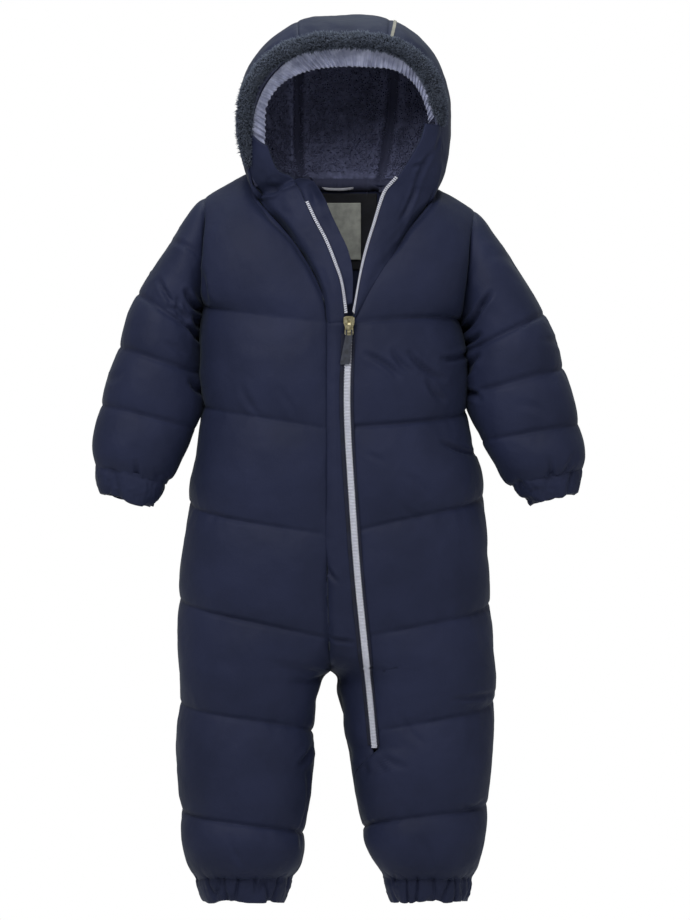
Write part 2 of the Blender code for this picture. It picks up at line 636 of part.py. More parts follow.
def panel(side, face, low=None):
    """A front or back piece from the shoulder to the ankle, as outer and inner grids."""
    lower, lower_normals, ways = lower_grid(side, face, PANEL_COLUMNS, low)
    station = np.arange(YOKE_ROWS, dtype=float)[:, None] * np.ones(PANEL_COLUMNS + 1)
    share = np.ones((YOKE_ROWS, 1)) * np.linspace(0, 1, PANEL_COLUMNS + 1)
    upper = yoke_points(side, face, share, station)
    correction = lower[0] - yoke_points(side, face, share[0], np.full(PANEL_COLUMNS + 1, float(YOKE_ROWS)))
    fade = (np.arange(YOKE_ROWS) / YOKE_ROWS)[:, None, None] ** 3
    upper = upper + correction * fade
    upper_normals = directions(
        lambda s, h: yoke_points(side, face, np.clip(s, 0, 1), np.clip(h, 0, YOKE_ROWS)), share, station,
        (TINY_SHARE, TINY_STATION), face * side,
    )
    points = np.concatenate([upper, lower])
    normals = np.concatenate([upper_normals, lower_normals])
    run, rest = cumulative(points)
    ways = np.concatenate([np.arange(YOKE_ROWS) / YOKE_ROWS, ways])
    edge_floor = np.concatenate([np.zeros(YOKE_ROWS), np.full(len(lower), SIDE_FLOOR)])[:, None]
    edge_share = edge_floor + (1 - edge_floor) * rise_from(rest)
    return points, normals, BODY_SWELL * channel(ways)[:, None] * rise_from(run) * edge_share


def hold_off_centre(points, side):
    """Keeps a half of the body on its own side of the centre seam."""
    z = points[..., 2]
    limit = centre_seam_x(z) + side * GAP / 2
    points[..., 0] = np.where(side * (points[..., 0] - limit) < 0, limit, points[..., 0])
    return points


def body_walls():
    grids = {}
    for side in (RIGHT, LEFT):
        for face in (FRONT, BACK):
            low = (lambda z: zip_edges(z)[1]) if (side, face) == (LEFT, FRONT) else None
            grids[side, face] = panel(side, face, low)
        front, back = grids[side, FRONT][1], grids[side, BACK][1]
        shoulder = unit(front[0] + back[0])
        front[0] = back[0] = shoulder
    for (side, face), (points, normals, swell) in grids.items():
        name = ("front_" if face == FRONT else "back_") + ("right" if side == RIGHT else "left")
        inset = dict(rows=(GAP / 2, GAP / 2), columns=(GAP / 2, GAP / 2))
        outer = hold_off_centre(pull_in(points + normals * swell[..., None], **inset), side)
        inner = hold_off_centre(pull_in(points - normals * WALL, **inset), side)
        wall(name, outer, inner, NAVY)
    return grids


def front_strip():
    rows = stitch_rows(LEFT)
    kept = int((rows[:, 1] > STRIP_END_Z).sum())
    points, normals, _ = lower_grid(LEFT, FRONT, STRIP_COLUMNS, high=lambda z: zip_edges(z)[0], last_row=kept)
    run, rest = cumulative(points)
    narrow = np.clip((rows[:kept, 1] - STRIP_END_Z) / 60, 0, 1)[:, None]
    swell = STRIP_SWELL * rise_from(np.minimum(run, rest), 8) * narrow
    inset = dict(rows=(GAP / 2, 0), columns=(GAP / 2, 0))
    outer = hold_off_centre(pull_in(points + normals * swell[..., None], **inset), LEFT)
    inner = hold_off_centre(pull_in(points - normals * WALL, **inset), LEFT)
    wall("front_strip", outer, inner, NAVY)
    return outer


# ---- sleeves and cuffs ---------------------------------------------------------------------------
def armhole_directions(side):
    """Directions of the yoke's wall round the armhole, in the order of the sleeve's columns."""
    station = np.arange(YOKE_ROWS + 1.0)
    front, back = (
        directions(
            lambda s, h, face=face: yoke_points(side, face, np.minimum(s, 1), np.clip(h, 0, YOKE_ROWS)),
            np.ones_like(station), station, (TINY_SHARE, TINY_STATION), face * side,
        )
        for face in (FRONT, BACK)
    )
    for end in (0, YOKE_ROWS):
        front[end] = back[end] = unit(front[end] + back[end])
    return np.concatenate([back, front[-2:0:-1]])


def sleeve(side):
    name = "sleeve_right" if side == RIGHT else "sleeve_left"
    place = np.array(SLEEVE_ROWS)[:, None] * np.ones(SLEEVE_COLUMNS)
    turn = np.ones((len(SLEEVE_ROWS), 1)) * np.arange(SLEEVE_COLUMNS) * 2 * math.pi / SLEEVE_COLUMNS
    points = sleeve_points(side, place, turn)
    normals = directions(lambda p, t: sleeve_points(side, p, t), place, turn, (TINY_STATION, TINY_STATION), side)
    near_armhole = np.clip(1 - place / 0.8, 0, 1)[..., None]
    normals = unit(normals * (1 - near_armhole) + armhole_directions(side) * near_armhole)
    centre = points.mean(axis=1, keepdims=True)
    points = points + (np.array([side, 0, 0]) - unit(points - centre)) * ARMHOLE_INSET * near_armhole
    stitches = np.array(SLEEVE_STITCHES, float)
    below = np.clip(np.searchsorted(stitches, place[:, 0], side="right") - 1, 0, len(stitches) - 2)
    way = (place[:, 0] - stitches[below]) / (stitches[below + 1] - stitches[below])
    round_share = 0.12 + 0.88 * (1 + np.cos(turn)) / 2
    swell = SLEEVE_SWELL * channel(way)[:, None] * round_share
    outer = points + normals * swell[..., None]
    wall(name, outer, points - normals * WALL, NAVY, ring=True)


def gathered_ring(name, top, hem, cuff, facing):
    """A short gathered tube between two rings of base points (columns, 3), which share their columns."""
    columns = len(top)
    turn = np.arange(columns) * 2 * math.pi / columns
    ripple = np.cos(cuff.gathers * turn)[:, None]
    outer, inner = [], []
    for way in (0.0, 0.5, 1.0):
        ring = top + (hem - top) * way
        out = unit(ring - ring.mean(axis=0) - facing * ((ring - ring.mean(axis=0)) @ facing)[:, None])
        wave = cuff.wave + (cuff.hem_wave - cuff.wave) * way
        bulge = cuff.swell * channel(np.array(way)) + wave * ripple
        outer.append(ring + out * bulge)
        inner.append(ring + out * (bulge - THIN_WALL))
    wall(name, np.array(outer), np.array(inner), NAVY, ring=True)


def sleeve_cuff(side):
    columns = SLEEVE_CUFF.gathers * COLUMNS_PER_GATHER
    turn = np.arange(columns) * 2 * math.pi / columns
    end = sleeve_points(side, np.full(columns, 8.0), turn)
    hem = ring_points((SLEEVE_HEM[side], SLEEVE_HEM[side]), np.zeros(columns), turn, SLEEVE_POWER)
    facing = unit(hem.mean(axis=0) - end.mean(axis=0))
    name = "sleeve_cuff_right" if side == RIGHT else "sleeve_cuff_left"
    inside = end + unit(end.mean(axis=0) - end) * (SLEEVE_CUFF.wave + 0.4)
    gathered_ring(name, inside + facing * GAP * 2, hem, SLEEVE_CUFF, facing)


def leg_ring(side, centre, reach, front, back, z, turn):
    depth = np.where(np.sin(turn) < 0, front, back)
    x = centre + side * reach * power_of(np.cos(turn), 2.2)
    return np.column_stack([x, depth * power_of(np.sin(turn), 2.2), np.full_like(x, z)])


def leg_cuff(side):
    columns = LEG_CUFF.gathers * COLUMNS_PER_GATHER
    turn = np.arange(columns) * 2 * math.pi / columns
    end = SECTIONS[side][-1]
    tuck = LEG_CUFF.wave + 0.4
    top_z = STITCHES[side][-1].centre - GAP
    reach = abs(end.side - end.centre) - tuck
    top = leg_ring(side, end.centre, reach, end.front - tuck, end.back - tuck, top_z, turn)
    low = LEG_HEM[side]
    hem = leg_ring(side, low.centre, abs(low.side - low.centre), low.front, low.back, low.z, turn)
    name = "leg_cuff_right" if side == RIGHT else "leg_cuff_left"
    gathered_ring(name, top, hem, LEG_CUFF, np.array([0.0, 0.0, -1.0]))


# ---- hood and collar -----------------------------------------------------------------------------
def hood_grid(part):
    """Angle shares and sides of the hood's columns: the right side, the centre or the left side."""
    fans = np.linspace(0, len(ARCHES) - 1, HOOD_ROWS + 1)
    right, left = hood_seam_share(RIGHT, fans), hood_seam_share(LEFT, fans)
    if part == "right":
        return fans, [(RIGHT, right * share) for share in HOOD_SIDE_SHARES[RIGHT]]
    if part == "left":
        return fans, [(LEFT, left * share) for share in HOOD_SIDE_SHARES[LEFT]]
    half = np.linspace(0, 1, HOOD_CENTRE_COLUMNS // 2 + 2)[:-1]
    columns = [(RIGHT, right + (1 - right) * s) for s in half]
    columns.append((RIGHT, np.ones_like(right)))
    columns += [(LEFT, left + (1 - left) * s) for s in half[::-1]]
    return fans, columns


def hood_wall(name, part, outside, thick, look):
    """One hood piece: outside is how far its outer face lies in from the hood's surface."""
    fans, columns = hood_grid(part)
    points, normals = [], []
    for side, shares in columns:
        points.append(hood_points(side, shares, fans))
        normals.append(directions(
            lambda s, f, side=side: hood_points(side, s, np.maximum(f, 0)), shares,
            np.minimum(fans, NAPE_FAN), (TINY_SHARE, TINY_STATION), -side,
        ))
    points, normals = np.stack(points, axis=1), np.stack(normals, axis=1)
    outer = points - normals * outside
    inner = points - normals * (outside + thick)
    lift = HOOD_LIFT + LINING_LIFT * (outside > 0)
    start = GAP / 2 if part == "centre" else lift
    inset = dict(rows=(GAP, lift), columns=(start, GAP / 2))
    wall(name, pull_in(outer, **inset), pull_in(inner, **inset), look)


def collar_seam(side):
    """Points and directions along the collar's seam: up the hood's edge and down the neckline."""
    shares = np.array([HOOD_SIDE_SHARES[side][k] for k in HOOD_STATIONS[side]] + [0.0])
    shares *= hood_seam_share(side, np.zeros(1))[0]
    front = np.zeros(len(shares))
    hood_out = directions(
        lambda s, f: hood_points(side, s, np.maximum(f, 0)), shares, front, (TINY_SHARE, TINY_STATION), -side,
    )
    station = np.arange(3.0, YOKE_ROWS + 1)
    yoke_out = directions(
        lambda s, h: yoke_points(side, FRONT, np.maximum(s, 0), np.minimum(h, YOKE_ROWS)),
        np.zeros_like(station), station, (TINY_SHARE, TINY_STATION), FRONT * side,
    )
    yoke_out[0] = hood_out[-1]
    neck = np.array(NECKLINE_FRONT[side], float)[3:]
    if side == LEFT:
        neck[-1] = COLLAR_FOOT
    points = np.concatenate([hood_points(side, shares[:-1], front[:-1]), neck])
    return points, np.concatenate([hood_out[:-1], yoke_out])


def collar(side):
    name = "collar_right" if side == RIGHT else "collar_left"
    edge = np.array(COLLAR_EDGE[side], float)
    start, beside = collar_seam(side)
    across = np.linspace(0, 1, COLLAR_COLUMNS + 1)[None, :, None]
    points = start[:, None] * (1 - across) + edge[:, None] * across
    normals = unit(np.cross(np.gradient(points, axis=1), np.gradient(points, axis=0)))
    normals = normals * np.where(normals[..., 1:2] > 0, -1, 1)
    normals[:, 0] = beside
    normals[:, 1] = unit(normals[:, 1] + beside)
    run, rest = cumulative(points)
    fullness = np.clip((run + rest) / COLLAR_FULL_WIDTH, 0, 1)
    swell = COLLAR_SWELL * fullness * np.sin(math.pi * np.clip(across[..., 0], 0, 1)) ** 0.8
    inset = dict(rows=(GAP, GAP), columns=(3 * GAP, 0.0))
    outer = pull_in(points + normals * swell[..., None], **inset)
    inner = pull_in(points - normals * THIN_WALL, **inset)
    wall(name, outer, inner, NAVY)
    return points, normals


def first_arch(share):
    """The hood's front edge from the right neckline (0) over the crown (0.5) to the left neckline (1)."""
    share = np.asarray(share, float)
    right = hood_points(RIGHT, np.clip(2 * share, 0, 1), 0.0)
    left = hood_points(LEFT, np.clip(2 - 2 * share, 0, 1), 0.0)
    return np.where((share < 0.5)[..., None], right, left)


def hood_rim():
    share = np.linspace(FUR_ROLL[0].share, FUR_ROLL[-1].share, FUR_ROLL_ROWS)
    centre = first_arch(share)
    along = unit(np.gradient(centre, axis=0))
    forward = np.array([0.0, -1.0, 0.0])
    forward = unit(forward - along * (along @ forward)[:, None])
    outward = np.cross(along, forward)
    middle = np.array([HOOD_MIDDLE_X, -60.0, 60.0])
    outward *= np.sign(((centre - middle) * outward).sum(axis=1))[:, None]
    across = table(FUR_ROLL, "share", "across", share)
    ahead = table(FUR_ROLL, "share", "forward", share)
    turn = np.arange(FUR_ROLL_SIDES) * 2 * math.pi / FUR_ROLL_SIDES
    centre = centre + forward * (ahead + FUR_ROLL_OFF)[:, None]
    rings = (
        centre[:, None]
        + outward[:, None] * (across[:, None] * np.cos(turn))[..., None]
        + forward[:, None] * (ahead[:, None] * np.sin(turn))[..., None]
    )
    tube("hood_rim", rings, FUR)


def tube(name, rings, look, corner=55):
    """A solid tube through rings (rows, sides, 3), with a flat cap on each end."""
    rows, sides = rings.shape[:2]
    faces = []
    for row in range(rows - 1):
        for k in range(sides):
            here, there = row * sides, (row + 1) * sides
            faces.append([here + k, here + (k + 1) % sides, there + (k + 1) % sides, there + k])
    vertices = rings.reshape(-1, 3)
    quads = list(faces)
    inside_out = enclosed_volume(vertices - vertices.mean(axis=0), quads) < 0
    faces.append(list(range(sides))[::-1])
    faces.append([(rows - 1) * sides + k for k in range(sides)])
    if inside_out:
        faces = [face[::-1] for face in faces]
    return make_object(name, vertices, faces, look, corner)


def hood_band():
    columns = BAND_GATHERS * 2 + 1
    share = np.linspace(GATHERED_BAND[0].share, GATHERED_BAND[-1].share, columns)
    edge = first_arch(share)
    middle = np.array([HOOD_MIDDLE_X, 0.0, 55.0])
    inward = middle - edge
    inward[:, 1] = 0
    inward = unit(inward)
    width = table(GATHERED_BAND, "share", "width", share)
    ripple = BAND_WAVE * np.cos(math.pi * np.arange(columns))
    outer, inner = [], []
    for way in (0.0, 1.0):
        row = edge + inward * (BAND_INSET + (width + BAND_HIDDEN) * way)[:, None]
        row[:, 1] += BAND_BEHIND + BAND_SLOPE * way
        face = row.copy()
        face[:, 1] -= ripple * (0.4 + 0.6 * way)
        back = face.copy()
        back[:, 1] += BAND_THICK
        outer.append(face)
        inner.append(back)
    wall("hood_band", np.array(outer), np.array(inner), PALE)


# ---- zip -----------------------------------------------------------------------------------------
def zip_chain():
    rows = stitch_rows(LEFT)[:, 1]
    rows = rows[(rows < ZIP_TOP_Z - 1) & (rows > ZIP_END_Z + 1)]
    z = np.concatenate([[ZIP_TOP_Z], rows, [ZIP_END_Z]])
    share, length = zip_share(z)
    edges = []
    for sign in (-1, 1):
        place = share + sign * CHAIN_WIDTH / 2 / length
        points = body_points(LEFT, FRONT, place, z)
        normals = directions(
            lambda s, h: body_points(LEFT, FRONT, s, h), place, z, (TINY_SHARE, -TINY_MM), FRONT * LEFT,
        )
        edges.append((points, normals))
    (near, near_out), (far, far_out) = edges
    bead = (far - near) * 0.2
    rings = np.stack([
        near + near_out * CHAIN_SHOULDER,
        near + bead + near_out * CHAIN_RISE,
        far - bead + far_out * CHAIN_RISE,
        far + far_out * CHAIN_SHOULDER,
        far - far_out * WALL,
        near - near_out * WALL,
    ], axis=1)
    tube("zip_chain", rings, CHAIN, corner=30)


def zip_branch(side, points, normals):
    """Half of the open zip, along the collar's free edge, from its top station down to the slider."""
    name = "zip_branch_right" if side == RIGHT else "zip_branch_left"
    first = len(HOOD_STATIONS[side]) + ZIP_TOP_STATION[side]
    edge = points[first:, -1]
    stations = np.arange(len(edge), dtype=float)
    fine = np.linspace(0, len(edge) - 1 - BRANCH_SHORT[side], 4 * (len(edge) - 1) + 1)
    line = smooth(stations, edge, fine)
    out = unit(smooth(stations, normals[first:, -1], fine))
    across = unit(smooth(stations, unit(points[first:, -1] - points[first:, -2]), fine))
    across = unit(across - out * (across * out).sum(axis=1, keepdims=True))
    near, far = line + across * 0.5, line + across * (0.5 + BRANCH_WIDTH)
    rings = np.stack([near + out * 0.6, far + out * 0.6, far - out * (BRANCH_THICK - 0.6),
                      near - out * (BRANCH_THICK - 0.6)], axis=1)
    tube(name, rings, CHAIN, corner=30)


def zip_slider():
    """The slider's plate with its bail, a low bridge that the pull hangs from."""
    outline = [(SLIDER_X - row.half_width, row.z) for row in SLIDER_OUTLINE]
    outline += [(SLIDER_X + row.half_width, row.z) for row in reversed(SLIDER_OUTLINE)]
    back = SLIDER_Y + SLIDER_THICK
    rings = np.array([[(x, y, z) for x, z in outline] for y in (SLIDER_Y, back)])
    plate = tube("zip_slider", rings, BRASS, corner=30)
    joined = plate.modifiers.new("bail", "BOOLEAN")
    joined.operation = "UNION"
    joined.solver = "EXACT"
    joined.object = bail()


def bail():
    """A bridge over the plate, sunk into it at both ends."""
    middle = (BAIL_TOP_Z + BAIL_END_Z) / 2
    half = (BAIL_TOP_Z - BAIL_END_Z) / 2
    turn = np.linspace(0, math.pi, 11)
    rings = []
    for inset in (BAIL_BAR, 0.0):
        z = middle + (half - inset) * power_of(np.cos(turn), BAIL_POWER)
        y = SLIDER_Y + BAIL_SINK - (BAIL_RISE + BAIL_SINK - inset) * power_of(np.sin(turn), BAIL_POWER)
        rings.append(np.stack([y, z], axis=1))
    under, over = rings
    left, right = SLIDER_X - BAIL_WIDTH / 2, SLIDER_X + BAIL_WIDTH / 2
    corners = ((left, under), (right, under), (right, over), (left, over))
    grid = np.stack([np.column_stack([np.full(len(turn), x), line]) for x, line in corners], axis=1)
    made = tube("zip_bail", grid, BRASS)
    made.hide_render = True
    return made


def zip_pull():
    """The pull, with its origin on its hinge axis. At rest it leans on the cloth."""
    down = np.array([0.0, -math.sin(PULL_LEAN), -math.cos(PULL_LEAN)])
    out = np.array([0.0, -math.cos(PULL_LEAN), math.sin(PULL_LEAN)])
    right = [(row.shift + row.half_width, row.down, row.hole_half, row.hole_down) for row in PULL_OUTLINE]
    left = [(row.shift - row.half_width, row.down, -row.hole_half, row.hole_down) for row in PULL_OUTLINE]
    loop = right + left[::-1]
    edge = np.array([np.array([x, 0, 0]) + down * fall for x, fall, _, _ in loop])
    hole = np.array([np.array([x, 0, 0]) + down * fall for _, _, x, fall in loop])
    faces = [out * PULL_THICK / 2, -out * PULL_THICK / 2]
    rings = [np.array([line + face for face in faces]) for line in (edge, hole)]
    made = wall("zip_pull", *rings, DARK, ring=True)
    made.location = [value * MM for value in PULL_AXIS]


# ---- inside the neck -----------------------------------------------------------------------------
def back_inside(x, z, depth):
    """Points inside the back yoke at the x and z given, at a depth in from its outer surface."""
    x, z = np.broadcast_arrays(np.asarray(x, float), np.asarray(z, float))
    share = np.linspace(0, 0.6, 25)[None, :]
    station = np.linspace(2, YOKE_ROWS, 43)[:, None]
    grids = {side: yoke_points(side, BACK, share, station) for side in (RIGHT, LEFT)}
    y = np.empty_like(x)
    for spot in np.ndindex(x.shape):
        side = LEFT if x[spot] > CENTRE_SEAM[0].x else RIGHT
        reached = [side * row for row in grids[side] if side * row[0, 0] <= side * x[spot]]
        heights = [-side * np.interp(side * x[spot], row[:, 0], row[:, 2]) for row in reached]
        depths = [side * np.interp(side * x[spot], row[:, 0], row[:, 1]) for row in reached]
        y[spot] = np.interp(-z[spot], heights, depths)
    return np.stack([x, y - depth, z], axis=-1)


def inside_patch(name, xs, zs, near, thick, look):
    """A flat piece of cloth inside the back of the neck."""
    x, z = np.meshgrid(xs, zs)
    wall(name, back_inside(x, z, near), back_inside(x, z, near + thick), look)


def neck_pieces():
    label_near = FACING_NEAR + FACING_THICK + LABEL_CLEAR
    facing = (np.linspace(*FACING_X, 9), np.linspace(*FACING_Z, 6), FACING_NEAR, FACING_THICK, FACING)
    label = (np.linspace(*LABEL_X, 5), np.linspace(*LABEL_Z, 5), label_near, LABEL_THICK, LABEL)
    inside_patch("neck_facing", *facing)
    inside_patch("neck_label", *label)
    xs = np.linspace(*LOOP_X, 9)
    arch = label_near + LOOP_RISE * np.sin(math.pi * np.linspace(0, 1, 9)) ** 0.5
    heights = (LOOP_Z + LOOP_HEIGHT / 2, LOOP_Z - LOOP_HEIGHT / 2)
    near = np.array([back_inside(xs, z, arch) for z in heights])
    far = np.array([back_inside(xs, z, arch + LOOP_THICK) for z in heights])
    wall("hanger_loop", near, far, PALE)


def wind_flap(points, normals):
    """The flap behind the right side of the open zip, from the zip's top down to the slider."""
    first = len(HOOD_STATIONS[RIGHT]) + ZIP_TOP_STATION[RIGHT]
    edge = points[first:first + len(FLAP), -1]
    out = normals[first:first + len(FLAP), -1]
    across = unit(edge - points[first:first + len(FLAP), -2])
    width = np.array([row.width for row in FLAP], float)[:, None]
    back = np.array([row.back for row in FLAP], float)[:, None]
    rows = [
        edge + across * width * way - out * (FLAP_SEAM + (back - FLAP_SEAM) * max(way, 0))
        for way in np.linspace(-0.25, 1, 6)
    ]
    outer = np.stack(rows, axis=1)
    wall("wind_flap", outer, outer + np.array([0.0, FLAP_THICK, 0.0]), NAVY)


def hood_tab():
    fans = np.linspace(*HOOD_TAB_FANS, 4)
    share = 2 - 2 * HOOD_TAB_SHARE
    columns, inner = [], []
    for step in (-0.5, 0.5):
        place = np.full(len(fans), share) + step * HOOD_TAB_WIDTH / 150
        points = hood_points(LEFT, place, fans)
        normals = directions(lambda s, f: hood_points(LEFT, s, f), place, fans, (TINY_SHARE, TINY_STATION), -LEFT)
        columns.append(points + normals * (HOOD_TAB_LIFT + HOOD_TAB_THICK))
        inner.append(points + normals * HOOD_TAB_LIFT)
    wall("hood_tab", np.stack(columns, axis=1), np.stack(inner, axis=1), LABEL)


def build():
    for made in list(bpy.data.objects):
        bpy.data.objects.remove(made, do_unlink=True)
    body_walls()
    front_strip()
    for side in (RIGHT, LEFT):
        sleeve(side)
        sleeve_cuff(side)
        leg_cuff(side)
    for part in ("right", "centre", "left"):
        hood_wall("hood_" + part, part, 0.0, THIN_WALL, NAVY)
        hood_wall("hood_lining_" + part, part, THIN_WALL + LINING_GAP, FUR_WALL, FUR)
    hood_rim()
    hood_band()
    for side in (RIGHT, LEFT):
        points, normals = collar(side)
        zip_branch(side, points, normals)
        if side == RIGHT:
            wind_flap(points, normals)
    zip_chain()
    zip_slider()
    zip_pull()
    neck_pieces()
    hood_tab()


build()
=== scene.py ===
"""The looks of a baby's padded snowsuit with a fur-trimmed hood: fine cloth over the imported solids.

Sizes are in millimetres until a mesh is made. +Z is up, -Y is the front and +X is the wearer's left. Every
piece of cloth is a surface of two parameters, the same one that its solid follows, moved out along its
directions by the swelling between stitched lines, puckers, folds and creases.
"""

import math
from collections import namedtuple

import bpy
import numpy as np
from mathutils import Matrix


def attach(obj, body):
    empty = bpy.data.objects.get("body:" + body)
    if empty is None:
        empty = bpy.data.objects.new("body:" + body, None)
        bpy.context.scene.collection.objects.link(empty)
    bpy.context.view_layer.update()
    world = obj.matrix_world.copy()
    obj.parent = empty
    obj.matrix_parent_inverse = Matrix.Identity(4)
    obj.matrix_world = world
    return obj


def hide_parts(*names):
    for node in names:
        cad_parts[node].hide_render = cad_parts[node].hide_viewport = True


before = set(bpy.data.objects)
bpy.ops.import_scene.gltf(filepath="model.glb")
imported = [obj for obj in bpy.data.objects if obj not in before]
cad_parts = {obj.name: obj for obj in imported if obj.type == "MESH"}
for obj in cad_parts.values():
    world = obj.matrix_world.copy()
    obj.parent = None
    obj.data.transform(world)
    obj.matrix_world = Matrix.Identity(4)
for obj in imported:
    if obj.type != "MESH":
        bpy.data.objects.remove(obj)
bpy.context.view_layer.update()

MM = 0.001
RIGHT, LEFT = -1, 1
FRONT, BACK = -1, 1
SIDE_NAME = {RIGHT: "right", LEFT: "left"}
FACE_NAME = {FRONT: "front", BACK: "back"}
WALL, THIN_WALL, FUR_WALL = 3.0, 2.2, 4.0
CURVE_STEPS = 64
# Every cloth piece has its fine face on one side and every fifth row and column on the other.
COARSE = 5


def rows_of(kind, *values):
    """A table whose rows are all of one kind."""
    return [kind(*row) for row in values]


# ---- the cut, as the solids have it ----
# Half sections of the body and the legs: the side seam's x, the x round which the outline is centred, how far
# the front and the back reach, and the power of the rounded outline.
Section = namedtuple("Section", "z side centre front back power")
# For each height: the right half's side and centre, the left half's, and what both share.
HALVES = (
    (-100, (-136.5, -14.0), (116.5, -14.0), 85, 80, 2.7),
    (-129, (-137.0, -14.0), (118.5, -14.0), 88, 81, 2.7),
    (-165, (-136.5, -14.0), (121.0, -14.0), 91, 82, 2.7),
    (-222, (-138.5, -14.0), (125.0, -14.0), 93, 84, 2.7),
    (-255, (-141.0, -14.0), (129.0, -14.0), 94, 87, 2.7),
    (-295, (-149.0, -14.5), (140.0, -14.0), 94, 92, 2.65),
    (-365, (-156.0, -16.5), (144.5, -13.5), 92, 98, 2.6),
    (-405, (-161.0, -27.0), (148.0, -3.0), 89, 99, 2.5),
    (-440, (-160.0, -50.0), (149.0, 25.0), 85, 95, 2.4),
    (-458, (-159.0, -69.0), (150.0, 49.0), 81, 90, 2.35),
    (-471, (-158.5, -85.5), (151.5, 70.0), 78, 86, 2.3),
    (-500, (-159.5, -92.5), (153.5, 76.0), 74, 80, 2.25),
    (-545, (-161.5, -94.5), (151.0, 78.5), 71, 75, 2.2),
    (-605, (-160.5, -96.5), (146.5, 81.5), 67, 71, 2.2),
    (-650, (-156.0, -97.0), (141.0, 83.5), 62, 66, 2.2),
    (-672, (-150.0, -96.5), (135.0, 85.5), 55, 58, 2.2),
    (-684, (-144.5, -97.0), (129.5, 86.0), 48, 50, 2.2),
)
SECTIONS = {
    RIGHT: [Section(z, *right, *shared) for z, right, left, *shared in HALVES],
    LEFT: [Section(z, *left, *shared) for z, right, left, *shared in HALVES],
}
# Places on a line in the front view.
Middle = namedtuple("Middle", "z x")
CENTRE_SEAM = rows_of(Middle, (-100, -14), (-300, -14), (-400, -13), (-471, -11), (-690, -11))
# Stitched lines: heights at the side seam and at the centre, and how far the line bows up between them.
Stitch = namedtuple("Stitch", "side centre bow")
STITCHES = {
    RIGHT: rows_of(Stitch,
        (-108, -129, 0), (-209, -234, 2), (-305, -339, -2), (-402, -443, 1), (-505, -536, -3),
        (-613, -638, -3), (-684, -684, 0),
    ),
    LEFT: rows_of(Stitch,
        (-127, -129, 5), (-214, -232, -2), (-300, -335, 2), (-407, -440, -1), (-503, -535, -2),
        (-608, -633, 0), (-684, -684, 0),
    ),
}
CHANNEL_POWER = 2.4
# How far the padding swells, how much of that is left at the side seam, and how far from a seam it builds up.
BODY_SWELL, STRIP_SWELL, SLEEVE_SWELL, COLLAR_SWELL = 8.0, 3.0, 6.0, 3.0
SIDE_FLOOR, UNDER_ARM_FLOOR = 0.04, 0.18
SEAM_FADE, STRIP_FADE = 17.0, 8.0
# Unevenness and creases fade out this near the edges of a piece, and nearer on the narrow collar.
EDGE_FADE, COLLAR_FADE = 6.0, 5.0
# Gathers of a cuff run on into the piece above it and fade out over this height.
GATHER_FADE = 8.0
ZIP_LINE = rows_of(Middle,
    (-100, 8), (-129, 8), (-205, 6), (-305, 11), (-380, 16.5), (-445, 23), (-500, 29), (-560, 34.5),
)
# The zip ends above the strip, which closes over it and runs out in a tip on the inseam.
ZIP_TOP_Z, ZIP_END_Z, STRIP_END_Z = -132.0, -553.0, -604.5
ZIP_HALF_GAP = 4.0
ZIP_CLOSING = (-556.5, -553.7)
STRIP_TIP = 1.6
# The necklines from the shoulder seam (station 0) down to the first stitched line (station 9).
YOKE_ROWS = 9
Point = namedtuple("Point", "x y z")
NECKLINE_FRONT = {
    RIGHT: rows_of(Point,
        (-86, 6, 26), (-89, -10, 19), (-89, -28, 8), (-83, -44, -5), (-70, -57, -20), (-54, -67, -38),
        (-39, -75, -59), (-26, -81, -82), (-17, -86, -105), (-14, -88, -129),
    ),
    LEFT: rows_of(Point,
        (91, 6, 9), (94.5, -10, 5), (95, -26, 0), (91.5, -41, -6.5), (82, -53, -18), (69, -63, -34),
        (57, -71, -53), (43, -78, -73), (28, -84, -98), (13, -88, -129),
    ),
}
NECKLINE_BACK = {
    RIGHT: rows_of(Point,
        (-86, 6, 26), (-74, 34, 20), (-50, 54.5, 14.5), (-30, 62.5, 12), (-14, 65.5, 10.5),
        (-14, 70.5, -22), (-14, 74, -49), (-14, 77, -76), (-14, 79.5, -103), (-14, 81, -129),
    ),
    LEFT: rows_of(Point,
        (91, 6, 9), (81, 34, 9), (56, 54.5, 8), (26, 63.5, 8.8), (-14, 65.5, 10.5), (-14, 70.5, -22),
        (-14, 74, -49), (-14, 77, -76), (-14, 79.5, -103), (-14, 81, -129),
    ),
}
# How round the yoke turns from the neckline to the armhole at a station.
Bend = namedtuple("Bend", "station power")
YOKE_BEND = rows_of(Bend, (0, 1.0), (1, 1.0), (2, 1.2), (3, 1.7), (4, 2.1), (5, 2.5), (9, 2.5))
# Rings of a sleeve: its outer edge, its under edge, its middle plane and half its depth.
Ring = namedtuple("Ring", "outer_x outer_z under_x under_z y depth")
SLEEVES = {
    RIGHT: rows_of(Ring,
        (-136.5, -3, -136.5, -108, 0, 40), (-145.0, -12, -139.5, -109.5, 0, 42),
        (-156.5, -28, -141.8, -113, -1, 45), (-170.0, -50, -142.5, -120, -3, 48),
        (-202.5, -99, -143.0, -139, -8, 50), (-221.0, -152, -144.0, -178, -13, 50),
        (-239.0, -210, -146.5, -233, -19, 46), (-246.0, -248, -160.0, -266, -24, 41),
        (-244.0, -273, -175.0, -289, -27, 32),
    ),
    LEFT: rows_of(Ring,
        (133.5, -16, 117.5, -127, 0, 40), (141.5, -26, 121.8, -128.5, 0, 42),
        (151.5, -41, 124.4, -132, -1, 45), (168.0, -64, 125.6, -139, -3, 48),
        (203.0, -119, 127.5, -156, -8, 50), (221.5, -173, 129.0, -199, -13, 50),
        (237.0, -229, 141.0, -246, -19, 46), (241.5, -256, 156.0, -271, -24, 41),
        (241.5, -274, 170.0, -290, -27, 32),
    ),
}
LAST_RING = 8
SLEEVE_STITCHES = (0, 4, 5, 6, LAST_RING)
SLEEVE_POWER = 2.2
